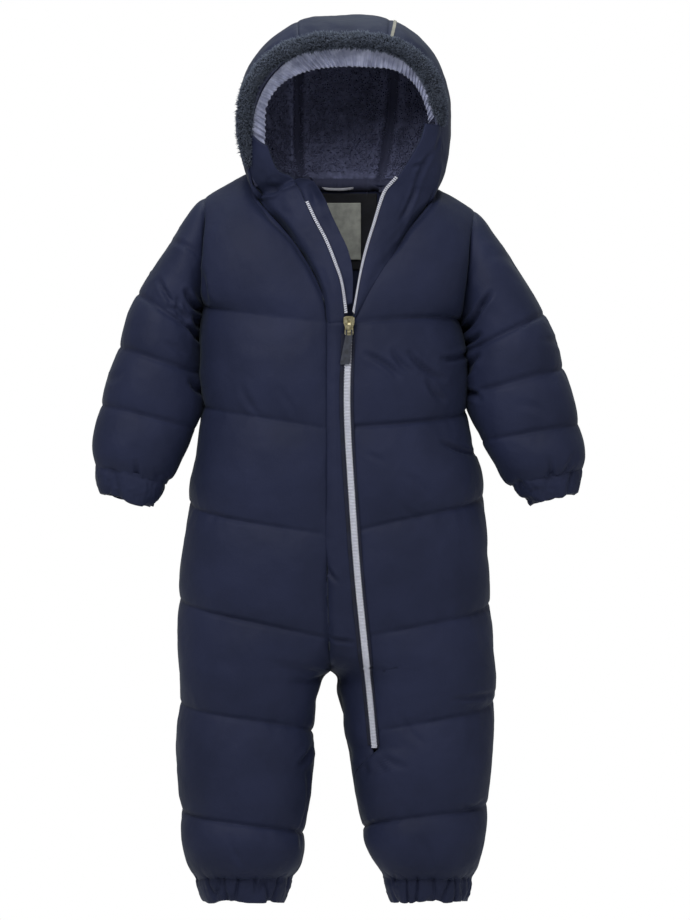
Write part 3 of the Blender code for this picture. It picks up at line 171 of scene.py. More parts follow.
Cuff = namedtuple("Cuff", "gathers swell inset tuck_size tuck_depth")
SLEEVE_CUFF = Cuff(14, 2.0, -0.4, 15, 2.8)
LEG_CUFF = Cuff(20, 1.6, -0.5, 10, 2.8)
# The sleeve's hem lies this far below its ring, drawn in on its outer side, and swayed to one side.
SLEEVE_DROP, SLEEVE_DRAW_IN = 3.2, 4.5
SLEEVE_SWAY = {RIGHT: 0.0, LEFT: -4.0}
SLEEVE_HEM = {
    RIGHT: Ring(-243.5, -293, -187.0, -311, -29, 28),
    LEFT: Ring(243.5, -291, 191.5, -309, -29, 28),
}
LegHem = namedtuple("LegHem", "side centre front back z")
LEG_HEM = {RIGHT: LegHem(-138, -97, 45, 46, -706), LEFT: LegHem(126, 87, 45, 46, -706)}
HOOD_MIDDLE_X = 2.5
HOOD_POWER = {RIGHT: 2.2, LEFT: 2.5}
# Arches of the hood from the face opening to the nape: where each springs from the neckline, its crown, its
# half width, and the half width of the centre piece on it.
Arch = namedtuple("Arch", "right left crown_y crown_z reach panel")
ARCHES = rows_of(Arch,
    (NECKLINE_FRONT[RIGHT][3], NECKLINE_FRONT[LEFT][3], -62, 155, 98.5, 44),
    (NECKLINE_FRONT[RIGHT][2], NECKLINE_FRONT[LEFT][2], -32, 174, 105.5, 45),
    (NECKLINE_FRONT[RIGHT][1], NECKLINE_FRONT[LEFT][1], 14, 181.0, 107.0, 46),
    (NECKLINE_FRONT[RIGHT][0], NECKLINE_FRONT[LEFT][0], 60, 160, 105.0, 46),
    (NECKLINE_BACK[RIGHT][1], NECKLINE_BACK[LEFT][1], 92, 114, 98.0, 46),
    (NECKLINE_BACK[RIGHT][2], NECKLINE_BACK[LEFT][2], 95, 64, 74.0, 42),
    (NECKLINE_BACK[RIGHT][3], NECKLINE_BACK[LEFT][3], 66.0, 10.2, 33, 22),
)
# The collar's seam comes down the hood's edge through these shares of the side piece, then down the neckline.
SEAM_ON_HOOD = {RIGHT: (0.40, 0.14), LEFT: (0.37, 0.28, 0.14)}
# The gathered band is sewn this far inside the hood's edge and behind it, and slopes back to its free edge.
BAND_INSET, BAND_BEHIND, BAND_SLOPE = 6.2, 1.0, 4.6
# The free edges of the collar's halves, from the hood down to the slider.
COLLAR_EDGE = {
    RIGHT: rows_of(Point,
        (-75, -68, 47), (-64, -66, 21), (-45, -64, 9), (-36, -68, -8), (-27, -74, -27), (-17, -79.5, -46),
        (-8, -84.5, -68), (-0.5, -88, -91), (4.0, -90.5, -127.6),
    ),
    LEFT: rows_of(Point,
        (85, -69, 70), (80, -70, 54), (69, -69, 34), (57, -67, 16), (46, -68, 3), (40, -72, -12),
        (34.5, -76, -30), (27, -80.5, -54), (20, -85, -82), (13.2, -88.5, -120.5),
    ),
}
# Where the left half's seam ends, and the width from which on a half swells in full.
COLLAR_FOOT = (14.6, -87.8, -123.0)
COLLAR_FULL_WIDTH = 30.0
# Stations from the hood down to the start of the open zip, and from its end down to the collar's foot.
ZIP_TOP_STATION = {RIGHT: 1, LEFT: 0}
BRANCH_SHORT = {RIGHT: 0.18, LEFT: 0.0}
# The inner flap: how far it shows past the collar's edge, and how far behind it lies.
Flap = namedtuple("Flap", "station width back")
FLAP = rows_of(Flap,
    (1.75, 8, 2.0), (2.0, 15, 2.5), (2.5, 18, 3.0), (3.0, 19, 4.5), (4.0, 18, 5.5), (5.0, 17, 6.0),
    (6.0, 18, 6.0), (7.0, 15, 5.0), (7.6, 9, 4.0),
)


# ---- curves and surfaces ----
def smooth(keys, values, at):
    """Values at the places given, on a Hermite curve through the keys with mean slopes."""
    keys = np.asarray(keys, float)
    values = np.asarray(values, float)
    if keys[0] > keys[-1]:
        keys, values = keys[::-1], values[::-1]
    steps = np.diff(keys)
    rises = np.diff(values, axis=0) / steps.reshape((-1,) + (1,) * (values.ndim - 1))
    slopes = np.empty_like(values)
    slopes[0], slopes[-1] = rises[0], rises[-1]
    before, after = steps[:-1], steps[1:]
    weight = (before / (before + after)).reshape((-1,) + (1,) * (values.ndim - 1))
    slopes[1:-1] = rises[:-1] * (1 - weight) + rises[1:] * weight
    at = np.clip(np.asarray(at, float), keys[0], keys[-1])
    place = np.clip(np.searchsorted(keys, at, side="right") - 1, 0, len(keys) - 2)
    width = steps[place]
    t = (at - keys[place]) / width
    if values.ndim > 1:
        t, width = t[..., None], width[..., None]
    start, end = values[place], values[place + 1]
    return (
        start * (2 * t**3 - 3 * t**2 + 1)
        + end * (3 * t**2 - 2 * t**3)
        + slopes[place] * width * (t**3 - 2 * t**2 + t)
        + slopes[place + 1] * width * (t**3 - t**2)
    )


def table(rows, key, name, at):
    """Values of one column of a table at places along another."""
    return smooth([getattr(row, key) for row in rows], [getattr(row, name) for row in rows], at)


def power_of(value, power):
    """A sine or cosine bent so that a turn follows a rounded outline of the power given."""
    return np.sign(value) * np.abs(value) ** (2 / power)


def ramp(value, start, end):
    """0 up to start, 1 from end on, and straight between them."""
    return np.clip((value - start) / (end - start), 0, 1)


def bell(distance, width, power=2):
    """1 at no distance, fading out at about the width given. A power of 4 has a flat top."""
    return np.exp(-(distance / width) ** power)


def unit(vectors):
    """The vectors at length 1. The floor of 1e-9 keeps a vector of no length from dividing by nothing."""
    return vectors / np.maximum(np.linalg.norm(vectors, axis=-1, keepdims=True), 1e-9)


def lengths_along(lines):
    """Distance of each point from the first one of its line (lines, points, 3)."""
    steps = np.linalg.norm(np.diff(lines, axis=1), axis=2)
    return np.concatenate([np.zeros((len(lines), 1)), np.cumsum(steps, axis=1)], axis=1)


def edge_distances(points):
    """Distance of each point of a grid from its first column and from its last."""
    run = lengths_along(points)
    return run, run[:, -1:] - run


def down_lengths(points):
    """Distance of each point of a grid from its first row."""
    return lengths_along(np.moveaxis(points, 0, 1)).T


def resample(lines, shares):
    """Points at the given shares of each line's length: one interpolation over all lines laid end to end."""
    along = lengths_along(lines)
    offset = 2.0 * np.arange(len(lines))[:, None]
    known = (along / along[:, -1:] + offset).ravel()
    wanted = np.broadcast_to(shares, (len(lines), np.shape(shares)[-1])) + offset
    return np.stack([np.interp(wanted, known, lines[..., k].ravel()) for k in range(3)], axis=-1)


def sample(grid, row, column):
    """Points of a grid at fractional rows and columns: Catmull-Rom curves across Catmull-Rom curves."""
    for axis in (0, 1):
        moved = np.moveaxis(grid, axis, 0)
        moved = np.concatenate([2 * moved[:1] - moved[1:2], moved, 2 * moved[-1:] - moved[-2:-1]])
        grid = np.moveaxis(moved, 0, axis)

    def parts(place, count):
        start = np.clip(np.floor(place).astype(int), 0, count - 4)
        t = place - start
        return start, (-0.5 * t + t**2 - 0.5 * t**3, 1 - 2.5 * t**2 + 1.5 * t**3,
                       0.5 * t + 2 * t**2 - 1.5 * t**3, -0.5 * t**2 + 0.5 * t**3)

    row, column = np.broadcast_arrays(row, column)
    first_row, row_weights = parts(row, grid.shape[0])
    first_column, column_weights = parts(column, grid.shape[1])
    total = 0.0
    for i, row_weight in enumerate(row_weights):
        line = sum(
            weight[..., None] * grid[first_row + i, first_column + j]
            for j, weight in enumerate(column_weights)
        )
        total = total + row_weight[..., None] * line
    return total


def directions(points, ring=False, toward=None):
    """Unit normals of a grid of points from the differences between neighbours.

    They point towards a given direction, or else away from the middle of the points.
    """
    down = np.gradient(points, axis=0)
    if ring:
        across = (np.roll(points, -1, axis=1) - np.roll(points, 1, axis=1)) / 2
    else:
        across = np.gradient(points, axis=1)
    normals = unit(np.cross(across, down))
    away = points - points.reshape(-1, 3).mean(axis=0) if toward is None else np.array(toward, float)
    return normals if (normals * away).sum() > 0 else -normals


def rise_from(distance, fade=SEAM_FADE):
    """0 at a seam, building up to 1 over the distance of fade."""
    return 1 - np.exp(-np.maximum(distance, 0) / fade)


def channel(way):
    """The rounded profile of a padded channel from one stitched line (0) to the next (1)."""
    return 1 - np.abs(2 * way - 1) ** CHANNEL_POWER


# ---- unevenness of cloth ----
def lattice(cells, seed):
    """A number from -1 to 1 for each whole-number cell, always the same: the sine hash of its coordinates."""
    mixed = np.sin(cells @ np.array([127.1, 311.7, 74.7])[:cells.shape[-1]] + seed * 17.13) * 43758.5453
    return 2 * (mixed - np.floor(mixed)) - 1


def noise(points, size, seed=0):
    """Smooth noise from -1 to 1 at points in any number of dimensions, with bumps of the given size."""
    places = np.asarray(points) / size
    cells = np.floor(places)
    t = places - cells
    t = t * t * (3 - 2 * t)
    count = places.shape[-1]
    total = 0.0
    for corner in range(2 ** count):
        bits = np.array([(corner >> k) & 1 for k in range(count)], float)
        weight = np.prod(np.where(bits > 0, t, 1 - t), axis=-1)
        total = total + weight * lattice(cells + bits, seed)
    return total


def cloudy(points, size, seed=0):
    """Three noises, each half as large and half as strong as the one before."""
    return sum(noise(points, size / 2**k, seed + k) / 2**k for k in range(3))


# A crease runs between two places in the front view, bows to one side by bow, and is width wide and
# depth deep. A negative depth is a ridge.
Crease = namedtuple("Crease", "x0 z0 x1 z1 bow width depth")


def creased(points, creases):
    """Sum of the creases: each a trough with the profile of a bell curve, that fades out at its two ends."""
    x, z = points[..., 0], points[..., 2]
    total = np.zeros_like(x)
    for crease in creases:
        run = np.array([crease.x1 - crease.x0, crease.z1 - crease.z0])
        length = np.hypot(*run)
        run = run / length
        along = ((x - crease.x0) * run[0] + (z - crease.z0) * run[1]) / length
        away = (x - crease.x0) * run[1] - (z - crease.z0) * run[0]
        inside = np.clip(along, 0, 1)
        away = away - crease.bow * 4 * inside * (1 - inside)
        away = np.hypot(away, (along - inside) * length)
        fade = np.sin(math.pi * np.clip(inside * 0.9 + 0.05, 0, 1)) ** 0.7
        lip = bell(away - 1.9 * crease.width, 0.9 * crease.width)
        total -= crease.depth * fade * (bell(away, crease.width) - 0.3 * lip)
    return total


# Puckers beside a stitched line: their size, how they stretch along z, their height, how near the line they
# start and how far from it they reach.
PUCKER_SIZE = 7.5
PUCKER_STRETCH = np.array([1.0, 1.0, 0.3])
PUCKER_HEIGHT, PUCKER_START, PUCKER_REACH = 1.4, 1.6, 11
GROOVE_DEPTH, GROOVE_WIDTH = 2.0, 2.3
# Lengths over which the puckers and the groove grow stronger and weaker along the line.
PUCKER_WAX, GROOVE_WAX = 55, 36


def stitched(points, rows, seeds, strengths, edge):
    """A narrow groove on each stitched row, and puckers square to it: none on the row, most beside it.

    strengths gives how much of the groove shows along each row, and edge how much of it reaches the outline.
    """
    down = down_lengths(points)
    total = np.zeros_like(down)
    for k, row in enumerate(rows):
        distance = np.abs(down - down[row])
        ripple = noise(points * PUCKER_STRETCH, PUCKER_SIZE, seeds + k)
        uneven = 0.65 + 0.6 * noise(points * PUCKER_STRETCH, PUCKER_WAX, seeds + k + 20)
        depth = GROOVE_DEPTH * (0.85 + 0.5 * noise(points, GROOVE_WAX, seeds + k + 40)) * strengths[k]
        near = np.exp(-distance / PUCKER_REACH)
        total += PUCKER_HEIGHT * uneven * ripple * near * (1 - np.exp(-distance / PUCKER_START))
        total -= depth * edge * bell(distance, GROOVE_WIDTH)
    return total


# ---- meshes ----
def in_scene(name, data):
    """A new object of the scene for a mesh, a light or a camera."""
    made = bpy.data.objects.new(name, data)
    bpy.context.scene.collection.objects.link(made)
    return made


def make_object(name, vertices, faces, look, uv=None, tips=None):
    """A smooth-shaded mesh object from points in millimetres. uv and the pile's tone, with its painted light
    and shade, are given for each vertex.
    """
    mesh = bpy.data.meshes.new(name)
    mesh.from_pydata((np.asarray(vertices) * MM).tolist(), [], faces)
    mesh.validate()
    mesh.shade_smooth()
    made = in_scene(name, mesh)
    corners = np.zeros(len(mesh.loops), np.int32)
    mesh.loops.foreach_get("vertex_index", corners)
    if uv is not None:
        layer = mesh.uv_layers.new(name="cloth")
        layer.data.foreach_set("uv", (np.asarray(uv) * MM)[corners].astype(np.float32).ravel())
    if tips is not None:
        attribute = mesh.attributes.new("tip", "FLOAT", "POINT")
        attribute.data.foreach_set("value", np.asarray(tips, np.float32))
    mesh.materials.append(look)
    return made


def grid_faces(rows, columns, ring=False, start=0):
    """Quads of a grid of vertices laid row by row; a ring's last column joins its first."""
    spans = columns if ring else columns - 1
    row, column = np.meshgrid(np.arange(rows - 1), np.arange(spans), indexing="ij")
    after = (column + 1) % columns
    quads = np.stack([row * columns + column, row * columns + after, (row + 1) * columns + after,
                      (row + 1) * columns + column], axis=-1)
    return quads.reshape(-1, 4) + start


def cloth_uv(points):
    """Places on the flat cloth: distance across from the first column, and down the middle column."""
    across = lengths_along(points)
    down = lengths_along(np.moveaxis(points[:, points.shape[1] // 2:points.shape[1] // 2 + 1], 0, 1))
    return np.stack([across, np.broadcast_to(down.T, across.shape)], axis=-1)


def shell(name, outer, inner, step, look, ring=False, tips=None):
    """A closed wall between a fine grid and a coarse one that has every step-th row and column.

    Along each border one face joins a coarse edge to the fine edges beside it.
    """
    rows, columns = outer.shape[:2]
    low_rows, low_columns = inner.shape[:2]
    half = rows * columns
    faces = grid_faces(rows, columns, ring).tolist()
    faces += grid_faces(low_rows, low_columns, ring, half)[:, ::-1].tolist()
    spans = low_columns if ring else low_columns - 1

    def fine(row, column):
        return row * columns + column % columns

    def low(row, column):
        return half + row * low_columns + column % low_columns

    for row, low_row, turned in ((0, 0, False), (rows - 1, low_rows - 1, True)):
        for k in range(spans):
            strip = [fine(row, c) for c in range((k + 1) * step, k * step - 1, -1)]
            face = strip + [low(low_row, k), low(low_row, k + 1)]
            faces.append(face[::-1] if turned else face)
    if not ring:
        for column, low_column, turned in ((0, 0, False), (columns - 1, low_columns - 1, True)):
            for k in range(low_rows - 1):
                strip = [fine(r, column) for r in range(k * step, (k + 1) * step + 1)]
                face = strip + [low(k + 1, low_column), low(k, low_column)]
                faces.append(face[::-1] if turned else face)
    middle = (rows // 2, columns // 3)
    first, second, third = outer[middle], outer[middle[0], middle[1] + 1], outer[middle[0] + 1, middle[1]]
    out = np.cross(second - first, third - first)
    beneath = inner[min(middle[0] // step, low_rows - 1), min(middle[1] // step, low_columns - 1)]
    if out @ (first - beneath) < 0:
        faces = [face[::-1] for face in faces]
    vertices = np.concatenate([outer.reshape(-1, 3), inner.reshape(-1, 3)])
    flat = cloth_uv(outer)
    uv = np.concatenate([flat.reshape(-1, 2), flat[::step, ::step].reshape(-1, 2)])
    return make_object(name, vertices, faces, look, uv, tips)


def tube_mesh(name, rings, look, tips=None):
    """A solid through rings of points (rows, sides, 3), with a cap on each end."""
    rows, sides = rings.shape[:2]
    faces = grid_faces(rows, sides, ring=True).tolist()
    faces.append(list(range(sides))[::-1])
    faces.append([(rows - 1) * sides + k for k in range(sides)])
    centre = rings[rows // 2].mean(axis=0)
    first, second, third = rings[rows // 2, 0], rings[rows // 2, 1], rings[rows // 2 + 1, 0]
    if np.cross(second - first, third - first) @ (first - centre) < 0:
        faces = [face[::-1] for face in faces]
    return make_object(name, rings.reshape(-1, 3), faces, look, cloth_uv(rings).reshape(-1, 2), tips)


def tucked(outer, normals, rows, columns=(0.0, 0.0)):
    """Borders carried on past their seam and turned in a little, so that they meet the next piece under it.

    rows and columns say how far past it, at the first and at the last row or column.
    """
    for axis, ends in ((0, rows), (1, columns)):
        grid, out = np.moveaxis(outer, axis, 0), np.moveaxis(normals, axis, 0)
        for here, beside, reach in ((0, 1, ends[0]), (-1, -2, ends[1])):
            if np.any(reach):
                onward = unit(grid[here] - grid[beside]) - 0.6 * out[here]
                grid[here] += np.reshape(reach, (-1, 1)) * onward
    return outer


def place(made, slot, *nodes):
    """The piece stands for CAD nodes of the suit: it hides them and joins the suit's body. slot is not used.
    """
    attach(made, "suit")
    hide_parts(*nodes)
    return made


# ---- materials ----
def linear(code):
    """An sRGB hex colour as linear red, green, blue and alpha."""
    values = [int(code[k:k + 2], 16) / 255 for k in (1, 3, 5)]
    return [v / 12.92 if v <= 0.04045 else ((v + 0.055) / 1.055) ** 2.4 for v in values] + [1.0]


def per_mm(size):
    """A pattern's scale, so that its features are about this many millimetres large."""
    return 1 / (size * MM)


def node(tree, kind, values=None, links=None, **properties):
    """Adds a shader node with its properties, socket values and links from (node, output)."""
    made = tree.nodes.new("ShaderNode" + kind)
    for name, value in properties.items():
        setattr(made, name, value)
    for name, value in (values or {}).items():
        made.inputs[name].default_value = value
    for name, (source, output) in (links or {}).items():
        tree.links.new(source.outputs[output], made.inputs[name])
    return made


def new_look(name, **sockets):
    """A material whose Principled shader has the socket values given."""
    look = bpy.data.materials.new(name)
    look.use_nodes = True
    shader = look.node_tree.nodes["Principled BSDF"]
    for socket, value in sockets.items():
        shader.inputs[socket.replace("_", " ")].default_value = value
    return look, look.node_tree, shader


def toned(tree, shader, source, dark, light, spread=(0.0, 1.0)):
    """Base colour that runs from dark to light as a value goes over the spread."""
    tones = node(tree, "ValToRGB", links={"Fac": source})
    for element, place_at, code in zip(tones.color_ramp.elements, spread, (dark, light)):
        element.position = place_at
        element.color = linear(code)
    tree.links.new(tones.outputs["Color"], shader.inputs["Base Color"])


def mottled(tree, shader, dark, light, size, coords, detail=4.0):
    """Base colour that wanders between two tones in patches of a size in millimetres."""
    uneven = {"Scale": per_mm(size), "Detail": detail}
    patches = node(tree, "TexNoise", uneven, {"Vector": (coords, "Object")})
    toned(tree, shader, (patches, "Fac"), dark, light, (0.35, 0.65))


def bumped(tree, shader, height, strength, depth):
    """A bump on the shader's normal, up to a depth in millimetres."""
    bump = node(tree, "Bump", {"Strength": strength, "Distance": depth * MM}, {"Height": height})
    tree.links.new(bump.outputs["Normal"], shader.inputs["Normal"])


def padded_cloth():
    """Plain-woven polyester taffeta, dyed navy: matt, with a faint sheen and a soft crumple.

    The yarns are 0.15 mm apart, far too fine to show, so the grain is drawn about 0.9 mm by 5 mm.
    """
    look, tree, shader = new_look(
        "navy_taffeta", Roughness=0.62, Specular_IOR_Level=0.14, Sheen_Weight=0.1, Sheen_Roughness=0.4,
        Sheen_Tint=linear("#9AA8A8"),
    )
    coords = node(tree, "TexCoord")
    mottled(tree, shader, "#1B2036", "#20253D", 60, coords, detail=3.0)
    grain_height = None
    for stretch in ((1.0, 0.18, 1.0), (0.18, 1.0, 1.0)):
        laid = node(tree, "Mapping", {"Scale": stretch}, {"Vector": (coords, "UV")})
        yarn = node(tree, "TexNoise", {"Scale": per_mm(0.9), "Detail": 2.0}, {"Vector": (laid, "Vector")})
        grain_height = yarn if grain_height is None else node(
            tree, "Math", links={0: (grain_height, 0), 1: (yarn, 0)}, operation="ADD")
    uneven = {"Scale": per_mm(14), "Detail": 5.0, "Roughness": 0.55, "Distortion": 0.4}
    crumple = node(tree, "TexNoise", uneven, {"Vector": (coords, "Object")})
    grain = node(tree, "Bump", {"Strength": 0.35, "Distance": 0.12 * MM}, {"Height": (grain_height, 0)})
    folds = node(tree, "Bump", {"Strength": 0.5, "Distance": 1.4 * MM},
                 {"Height": (crumple, "Fac"), "Normal": (grain, "Normal")})
    tree.links.new(folds.outputs["Normal"], shader.inputs["Normal"])
    return look


def pile(name, root, tip, light):
    """Knitted fur pile: dark at the roots and lighter at the tips, painted shade deep among the hairs, with
    random patches.
    The tip attribute also carries the painted light and shade that each piece sets.
    """
    look, tree, shader = new_look(
        name, Roughness=0.85, Specular_IOR_Level=0.2, Sheen_Weight=0.5, Sheen_Roughness=0.35,
        Sheen_Tint=linear(light),
    )
    coords = node(tree, "TexCoord")
    height = node(tree, "Attribute", attribute_name="tip")
    uneven = {"Scale": per_mm(5), "Detail": 5.0, "Roughness": 0.7}
    patches = node(tree, "TexNoise", uneven, {"Vector": (coords, "Object")})
    raised = node(tree, "Math", {1: 0.55}, {0: (patches, "Fac")}, operation="SUBTRACT")
    both = node(tree, "Math", {1: 1.1}, {0: (raised, 0), 2: (height, "Fac")}, operation="MULTIPLY_ADD")
    toned(tree, shader, (both, 0), root, tip)
    return look


def ribbon(name, dark, light, roughness, sheen):
    """Woven ribbon: fine ribs across it, drawn 1 mm apart, and a soft satin light."""
    look, tree, shader = new_look(name, Roughness=roughness, Sheen_Weight=sheen, Specular_IOR_Level=0.4)
    coords = node(tree, "TexCoord")
    mottled(tree, shader, dark, light, 9, coords)
    ribs = node(tree, "TexNoise", {"Scale": per_mm(1.2), "Detail": 3.0}, {"Vector": (coords, "UV")})
    bumped(tree, shader, (ribs, "Fac"), 0.5, 0.2)
    return look


def hard(name, dark, light, size, metallic, roughness, depth=0.05):
    """A hard part with a colour that wanders a little and a fine moulded or worn surface."""
    look, tree, shader = new_look(name, Metallic=metallic)
    coords = node(tree, "TexCoord")
    mottled(tree, shader, dark, light, size, coords)
    wear = node(tree, "TexNoise", {"Scale": per_mm(0.8), "Detail": 4.0}, {"Vector": (coords, "Object")})
    polish = node(tree, "MapRange", {"To Min": roughness - 0.08, "To Max": roughness + 0.1},
                  {"Value": (wear, "Fac")})
    tree.links.new(polish.outputs[0], shader.inputs["Roughness"])
    bumped(tree, shader, (wear, "Fac"), 0.4, depth)
    return look


NAVY = padded_cloth()
LINING_FUR = pile("lining_pile", "#40435A", "#8085A9", "#6C7090")
RIM_FUR = pile("rim_pile", "#20242E", "#596172", "#8A94A0")
SATIN = ribbon("gathered_satin", "#7F849E", "#A9AEC8", 0.5, 0.2)
LOOP_RIBBON = ribbon("loop_ribbon", "#9A9CA6", "#B4B6C0", 0.7, 0.1)
LABEL_RIBBON = ribbon("label_ribbon", "#8C8F8A", "#A9ABA4", 0.75, 0.1)
TAB_RIBBON = ribbon("tab_ribbon", "#74726A", "#8B887E", 0.7, 0.1)
TAPE = ribbon("zip_tape", "#0F1222", "#161A2E", 0.9, 0.0)
# Painted shade: the facing inside the back of the neck is drawn near black, darker than the navy shell, for
# the shade inside the neck.
FACING = ribbon("dark_facing", "#0B0C12", "#12141D", 0.8, 0.1)
TEETH = hard("moulded_teeth", "#C3C5D3", "#D5D7E2", 3, 0.0, 0.35)
BRASS = hard("worn_plating", "#7F7758", "#C9C1A0", 2.5, 1.0, 0.3)
RUBBER = hard("moulded_pull", "#1C1F28", "#2D313D", 4, 0.0, 0.55, 0.15)


def cloth(node_name, outer, inner, name=None, look=NAVY, slot="navy_shell", **more):
    """A cloth piece for a CAD node: a wall between a fine face and every step-th point of the other.

    more can give the step, a ring and the pile's tone with its painted light and shade, as shell takes them.
    """
    step = more.pop("step", COARSE)
    made = shell(name or node_name + "_cloth", outer, inner[::step, ::step], step, look, **more)
    return place(made, slot, node_name)


# ---- body ----
# The body's points are kept at every step down from its top, and at equal shares round each quarter.
BODY_TOP, BODY_STEP, BODY_SHARES = -97.0, 1.0, 81
# Fine rows in the yoke and in each channel, and fine columns across a panel.
YOKE_FINE, CHANNEL_FINE, PANEL_FINE = 70, 45, 90
CHANNELS = 6


def centre_seam_x(z):
    """Where the centre seam lies at heights z."""
    return table(CENTRE_SEAM, "z", "x", z)


def section_lines(side, face, z):
    """Half sections at heights z: rounded outlines of the section's power, from the centre to the side."""
    rows = SECTIONS[side]
    edge, centre, power = (table(rows, "z", name, z)[:, None] for name in ("side", "centre", "power"))
    depth = table(rows, "z", "front" if face == FRONT else "back", z)[:, None]
    reach = np.abs(edge - centre)
    inward = side * (centre - centre_seam_x(z)[:, None])
    end = -np.arcsin(np.clip(inward / reach, 0, 1) ** (power / 2))
    turn = end + (math.pi / 2 - end) * np.linspace(0, 1, CURVE_STEPS)[None, :]
    x = centre + side * reach * power_of(np.sin(turn), power)
    y = face * depth * power_of(np.cos(turn), power)
    return np.stack([x, y, np.broadcast_to(z[:, None], x.shape)], axis=2)


BODY_HEIGHTS = np.arange(BODY_TOP, -688.0, -BODY_STEP)
BODY_LINES = {
    (side, face): section_lines(side, face, BODY_HEIGHTS) for side in (RIGHT, LEFT) for face in (FRONT, BACK)
}
BODY_GRIDS = {key: resample(lines, np.linspace(0, 1, BODY_SHARES)) for key, lines in BODY_LINES.items()}


def body_points(side, face, share, z):
    """Points of the body: share runs from the centre seam or the inseam (0) to the side seam (1)."""
    return sample(BODY_GRIDS[side, face], (BODY_TOP - z) / BODY_STEP, share * (BODY_SHARES - 1))


def yoke_points(side, face, share, station):
    """Points of the yoke: a rounded turn from the neckline (share 0) to the armhole (1) at each station."""
    neck = np.array((NECKLINE_FRONT if face == FRONT else NECKLINE_BACK)[side], float)
    start = smooth(np.arange(YOKE_ROWS + 1), neck, station)
    end = sleeve_points(side, np.zeros_like(station), face * math.pi * station / YOKE_ROWS)
    turn = np.linspace(0, math.pi / 2, CURVE_STEPS)[None, :]
    power = table(YOKE_BEND, "station", "power", station)[:, None]
    over, down = power_of(np.sin(turn), power), power_of(np.cos(turn), power)
    x = start[:, :1] + (end[:, :1] - start[:, :1]) * over
    y = end[:, 1:2] + (start[:, 1:2] - end[:, 1:2]) * down
    points = resample(np.stack([x, y, np.zeros_like(x)], axis=2), share)
    points[..., 2] = start[:, 2:] + (end[:, 2:] - start[:, 2:]) * share
    return points


def zip_share_at(z):
    """The zip's place on the left front as a share, and the length that the shares divide, at heights z."""
    lines = BODY_LINES[LEFT, FRONT]
    heights = np.maximum(BODY_HEIGHTS, ZIP_END_Z)
    along = lengths_along(lines)
    held = np.minimum(np.arange(len(along)), np.searchsorted(-heights, -ZIP_END_Z))
    x = table(ZIP_LINE, "z", "x", BODY_HEIGHTS)
    runs = np.array([
        np.interp(at, line[:, 0], run) / run[-1] for at, line, run in zip(x, lines[held], along[held])
    ])
    share = np.interp(-z, -BODY_HEIGHTS, runs)
    length = np.interp(-z, -BODY_HEIGHTS, along[:, -1])
    return share * ramp(z, STRIP_END_Z, ZIP_CLOSING[0]), length


def zip_edges(z):
    """Shares of the strip's edge and of the left front's edge at heights z."""
    share, length = zip_share_at(z)
    half = ZIP_HALF_GAP * ramp(z, *ZIP_CLOSING) / length
    strip = np.maximum(share - half, STRIP_TIP / length)
    front = np.where(z < STRIP_END_Z, 0.0, np.maximum(share + half, strip))
    return strip, front


def channel_rows():
    """Channel number and way through it for each fine row; rows are closer together beside the stitches."""
    t = np.arange(CHANNEL_FINE) / CHANNEL_FINE
    way = t - 0.25 * np.sin(2 * math.pi * t) / (2 * math.pi)
    number = np.repeat(np.arange(CHANNELS), CHANNEL_FINE)
    return np.append(number, CHANNELS - 1), np.append(np.tile(way, CHANNELS), 1.0)


def lower_points(side, face, columns, low=None, high=None):
    """Body points below the first stitched line, in rows along the stitches, and the ways through channels.

    low and high give the shares of the two edges; with a high edge the rows are level.
    """
    number, way = channel_rows()
    at_side, at_centre, bow = (
        line[number] + (line[number + 1] - line[number]) * way
        for line in (np.array([getattr(stitch, name) for stitch in STITCHES[side]], float)
                     for name in Stitch._fields)
    )
    across = np.linspace(0, 1, columns + 1)[None, :]
    first = np.zeros(len(way)) if low is None else low(at_centre)
    last = np.ones(len(way)) if high is None else high(at_centre)
    share = first[:, None] + (last - first)[:, None] * across
    sweep = across if high is None else 0 * across
    z = at_centre[:, None] + (at_side - at_centre)[:, None] * sweep
    z = z + bow[:, None] * 4 * sweep * (1 - sweep)
    return body_points(side, face, share, z), way


def panel_base(side, face):
    """Base points of a front or back piece from the shoulder to the ankle, and the ways through channels."""
    low = (lambda z: zip_edges(z)[1]) if (side, face) == (LEFT, FRONT) else None
    lower, way = lower_points(side, face, PANEL_FINE, low)
    station = np.linspace(0, YOKE_ROWS, YOKE_FINE + 1)
    upper = yoke_points(side, face, np.linspace(0, 1, PANEL_FINE + 1)[None, :], station)
    fade = ((station / YOKE_ROWS) ** 3)[:, None, None]
    upper = upper + (lower[0] - upper[-1]) * fade
    return np.concatenate([upper[:-1], lower]), np.concatenate([station[:-1] / YOKE_ROWS, way])


def seam_dip(distance, depth, width=2.2):
    """How far the cloth dips beside a seam."""
    return -depth * bell(np.maximum(distance, 0), width)


# The fold between the body and the collar or hood, at heights.
Valley = namedtuple("Valley", "z depth width")
NECK_VALLEY = {
    RIGHT: rows_of(Valley,
        (30, 2.0, 4.0), (8, 4.5, 7.0), (-18, 7.0, 6.0), (-36, 9.0, 4.4), (-50, 5.0, 3.4), (-62, 6.0, 3.4),
        (-80, 4.5, 3.4), (-129, 1.5, 2.2),
    ),
    LEFT: rows_of(Valley,
        (30, 1.5, 2.4), (0, 3.5, 3.4), (-20, 6.0, 3.6), (-42, 4.0, 3.0), (-60, 1.0, 2.4), (-129, 0.8, 2.0),
    ),
}


def neck_valley(side, z, distance):
    """The fold between the body and the collar or hood: as deep and as wide as the heights say."""
    depth, width = (table(NECK_VALLEY[side], "z", name, z) for name in ("depth", "width"))
    return seam_dip(distance, depth * (1 + 0.3 * noise(z[..., None], 12, side)), width)


